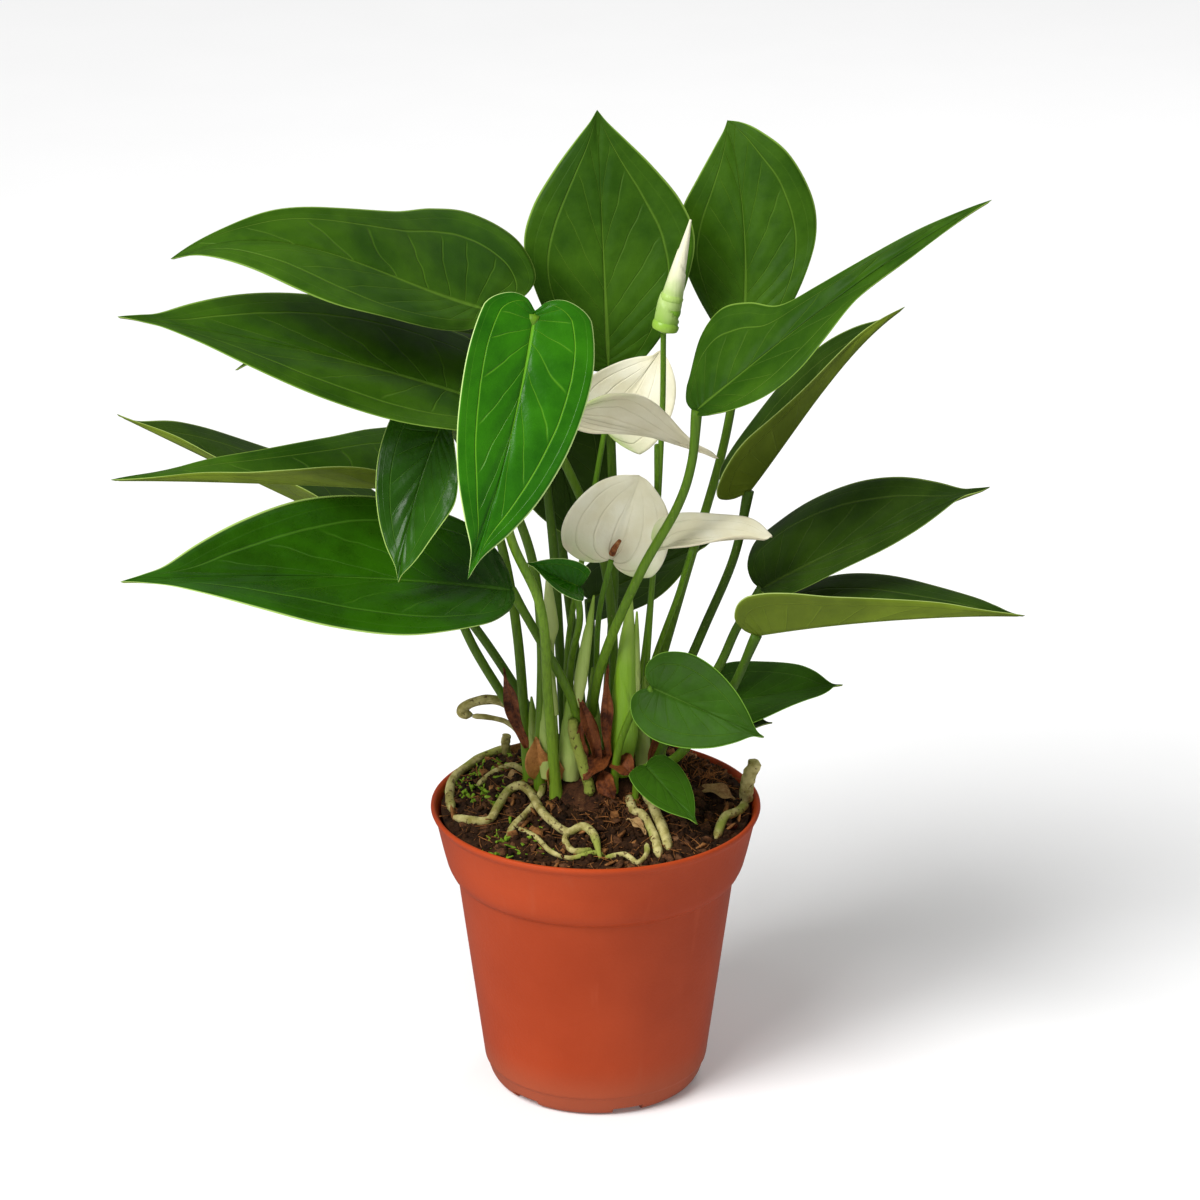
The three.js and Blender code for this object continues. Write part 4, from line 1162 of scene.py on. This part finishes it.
# Routes, in millimetres: across, back, and height above the mix. Each root has its radius
# and, where it has one, its CAD node.
ROOTS = {
    "rim_left": (1.5, "root_rim_left", [
        (-29, 34, 2), (-37, 31, 2), (-43, 24, 1.6), (-46.5, 15, 1.6), (-47, 4, 1.6), (-46, -7, 1)]),
    "front": (1.4, "root_front", [
        (-45, -11, 1), (-41, -14, 1), (-34, -17, 1.2), (-31, -11, 2), (-28, -3, 2), (-24, -3, 2.4),
        (-21, -7, 2), (-18, -14, 1.6), (-15, -21, 1.6), (-9, -26, 1.6), (-4, -25, 1.8),
        (-0.5, -30, 1.6), (1.5, -41, 1)]),
    "hook": (1.0, None, [
        (-9, -26, 1), (-9.5, -32, 1), (-7.5, -36.5, 0.8), (-4, -37.5, 0.8), (-1, -35, 0.4)]),
    "short": (1.2, None, [
        (0, 4, 0.6), (-6, 5, 1), (-10, 1, 1), (-16, -1, 1.4), (-17.5, -7, 1), (-21, -13, 0.8),
        (-25, -19, 0.8), (-28, -26, 0.2)]),
    "centre": (1.7, None, [
        (10, 2, 0.6), (13.5, -3, 1.2), (16.5, -9, 1.4), (19.5, -18, 1.4), (22, -27, 1), (23, -33, 0)]),
    "centre_low": (1.5, None, [
        (10.5, -10, 0.6), (12, -16, 1), (15.5, -20, 1.2), (18.5, -28, 1.2), (20, -38, 0.4)]),
    "thin_green": (0.8, None, [
        (-25, -21, 0.4), (-19, -29, 0.8), (-14, -36, 0.8), (-8, -39, 0.8), (-1, -38.5, 0.8),
        (3, -37, 0.2)]),
    "thin_pale": (0.9, None, [
        (3, -39, 0.4), (9, -37.5, 0.8), (13, -41.5, 0.8), (16, -38, 0.8), (16, -31, 0.4)]),
    "right_low": (1.4, "root_right", [(48, -2, 1.6), (45.5, -8, 1.4), (41, -14, 1.4), (38, -25, 0.2)]),
    "upper_right": (0.8, None, [(14, 5, 1), (22, 3, 1), (27, -3, 0.8), (30, -12, 0.4)]),
    "buried": (1.0, None, [(-38, 8, 0.2), (-33, 14, 1), (-27, 13, 1), (-22, 8, 0.2)]),
}
# Aerial roots that leave the mix, in millimetres, with true heights.
AERIAL = {
    "loop_thick": (1.6, [
        (-20, 20, 111), (-24, 22, 116), (-29, 22, 120.5), (-35, 22, 122), (-41, 22, 120.5),
        (-43.5, 22, 117.5), (-40, 22, 116.5)]),
    "loop_thin": (0.9, [
        (-40, 22, 116.2), (-34, 22, 115.6), (-28, 22, 113.5), (-23, 20, 108.5), (-20, 16, 104)]),
    "rim_stub": (2.2, [(48.5, 4, 94), (48.5, 3, 99), (49.5, 2.5, 104), (51.5, 3, 109)]),
    "pale_stub": (1.8, [
        (-7.5, -8.5, 128), (-6.5, -9, 122), (-4.5, -10, 115), (-2.5, -11.5, 108), (-1.5, -12, 103)]),
    "far_left_stub": (1.5, [(-29, 30, 99), (-29.5, 30, 103), (-29, 30, 106.5)]),
}


def root_piece(name, radius, route, seed, *nodes):
    """A lumpy, blunt-ended root along its route, which is given in metres."""

    def lump(t, turn):
        return 0.2 * noise.noise((t * 9 + seed, math.cos(turn), math.sin(turn)))

    def blunt(t):
        return radius * MM * min(1, 0.6 + 8 * t, 0.35 + 10 * (1 - t))

    piece(name, tube_mesh(name, route, blunt, 14, 80, lump), [cork], "root", *nodes)


for order, (name, (radius, node, route)) in enumerate(ROOTS.items()):
    laid = [(x * MM, y * MM, mix_height(x * MM, y * MM) + lift * MM) for x, y, lift in route]
    root_piece("root_bark_" + name, radius, laid, 5 * order, *([node] if node else []))
for order, (name, (radius, route)) in enumerate(AERIAL.items()):
    root_piece("root_aerial_" + name, radius, [np.array(point) * MM for point in route], 7 * order)


# ---- Floor, light and camera -----------------------------------------------------------------
# A pale floor under the pot, lit by a large soft light from the upper left and a weaker one from
# behind on the right. A wide soft sun and a pale sky fill the shadows, and the floor glows faintly as
# painted light.

def floor_finish_with_painted_glow():
    finish, shader, wire = start_finish("pale_floor_with_painted_glow")
    place = place_on(wire)
    grain = speckle(wire, place, 12, 2)
    color = grain.blend((0.86, 0.86, 0.86), (0.88, 0.88, 0.88))
    # The emission makes the floor glow faintly: painted light that brightens the undersides of the leaves
    # above it.
    end_finish(shader, wire, grain, 0.00005, {"Specular IOR Level": 0.2, "Emission Strength": 0.1},
               Base_Color=color, Emission_Color=color, Roughness=0.8 + 0.05 * grain)
    return finish


HALF = 6
floor_mesh = mesh_from("floor", [(-HALF, -HALF, 0), (HALF, -HALF, 0), (HALF, HALF, 0), (-HALF, HALF, 0)],
                       [(0, 1, 2, 3)])
floor_mesh.materials.append(floor_finish_with_painted_glow())
floor = linked("floor", floor_mesh)
floor.visible_glossy = False


def aimed(way):
    """The turn that points a light along a direction."""
    return Vector(way).to_track_quat("-Z", "Y").to_euler()


def soft_light(name, place, target, size, power, glossy=True):
    lamp = bpy.data.lights.new(name, "AREA")
    lamp.size = size
    lamp.energy = power
    made = linked(name, lamp)
    made.location = place
    made.visible_glossy = glossy
    made.rotation_euler = aimed(Vector(target) - Vector(place))


soft_light("key", (-0.9, -0.8, 1.1), (0, 0, 0.18), 0.6, 11)
soft_light("back", (0.5, 0.9, 1.1), (0, 0, 0.2), 0.6, 4, False)
sun = bpy.data.lights.new("window", "SUN")
sun.energy = 2.5
sun.angle = math.radians(34)
window = linked("window", sun)
window.rotation_euler = aimed((0.5, 0.55, -0.95))
window.visible_glossy = False
sky = bpy.data.worlds.new("sky")
bpy.context.scene.world = sky
sky.use_nodes = True
glow = sky.node_tree.nodes["Background"]
glow.inputs["Color"].default_value = (1, 1, 1, 1)
glow.inputs["Strength"].default_value = 0.24
bpy.context.scene.view_settings.view_transform = "Standard"

AIM = Vector((0.0014, 0, 0.165))
RANGE, TILT = 1.3, math.radians(21.1)
lens = bpy.data.cameras.new("camera")
lens.lens = 123.8
lens.sensor_width = 36
camera = linked("camera", lens)
camera.location = AIM + RANGE * Vector((0, -math.cos(TILT), math.sin(TILT)))
camera.rotation_euler = (math.pi / 2 - TILT, 0, 0)
bpy.context.scene.camera = camera
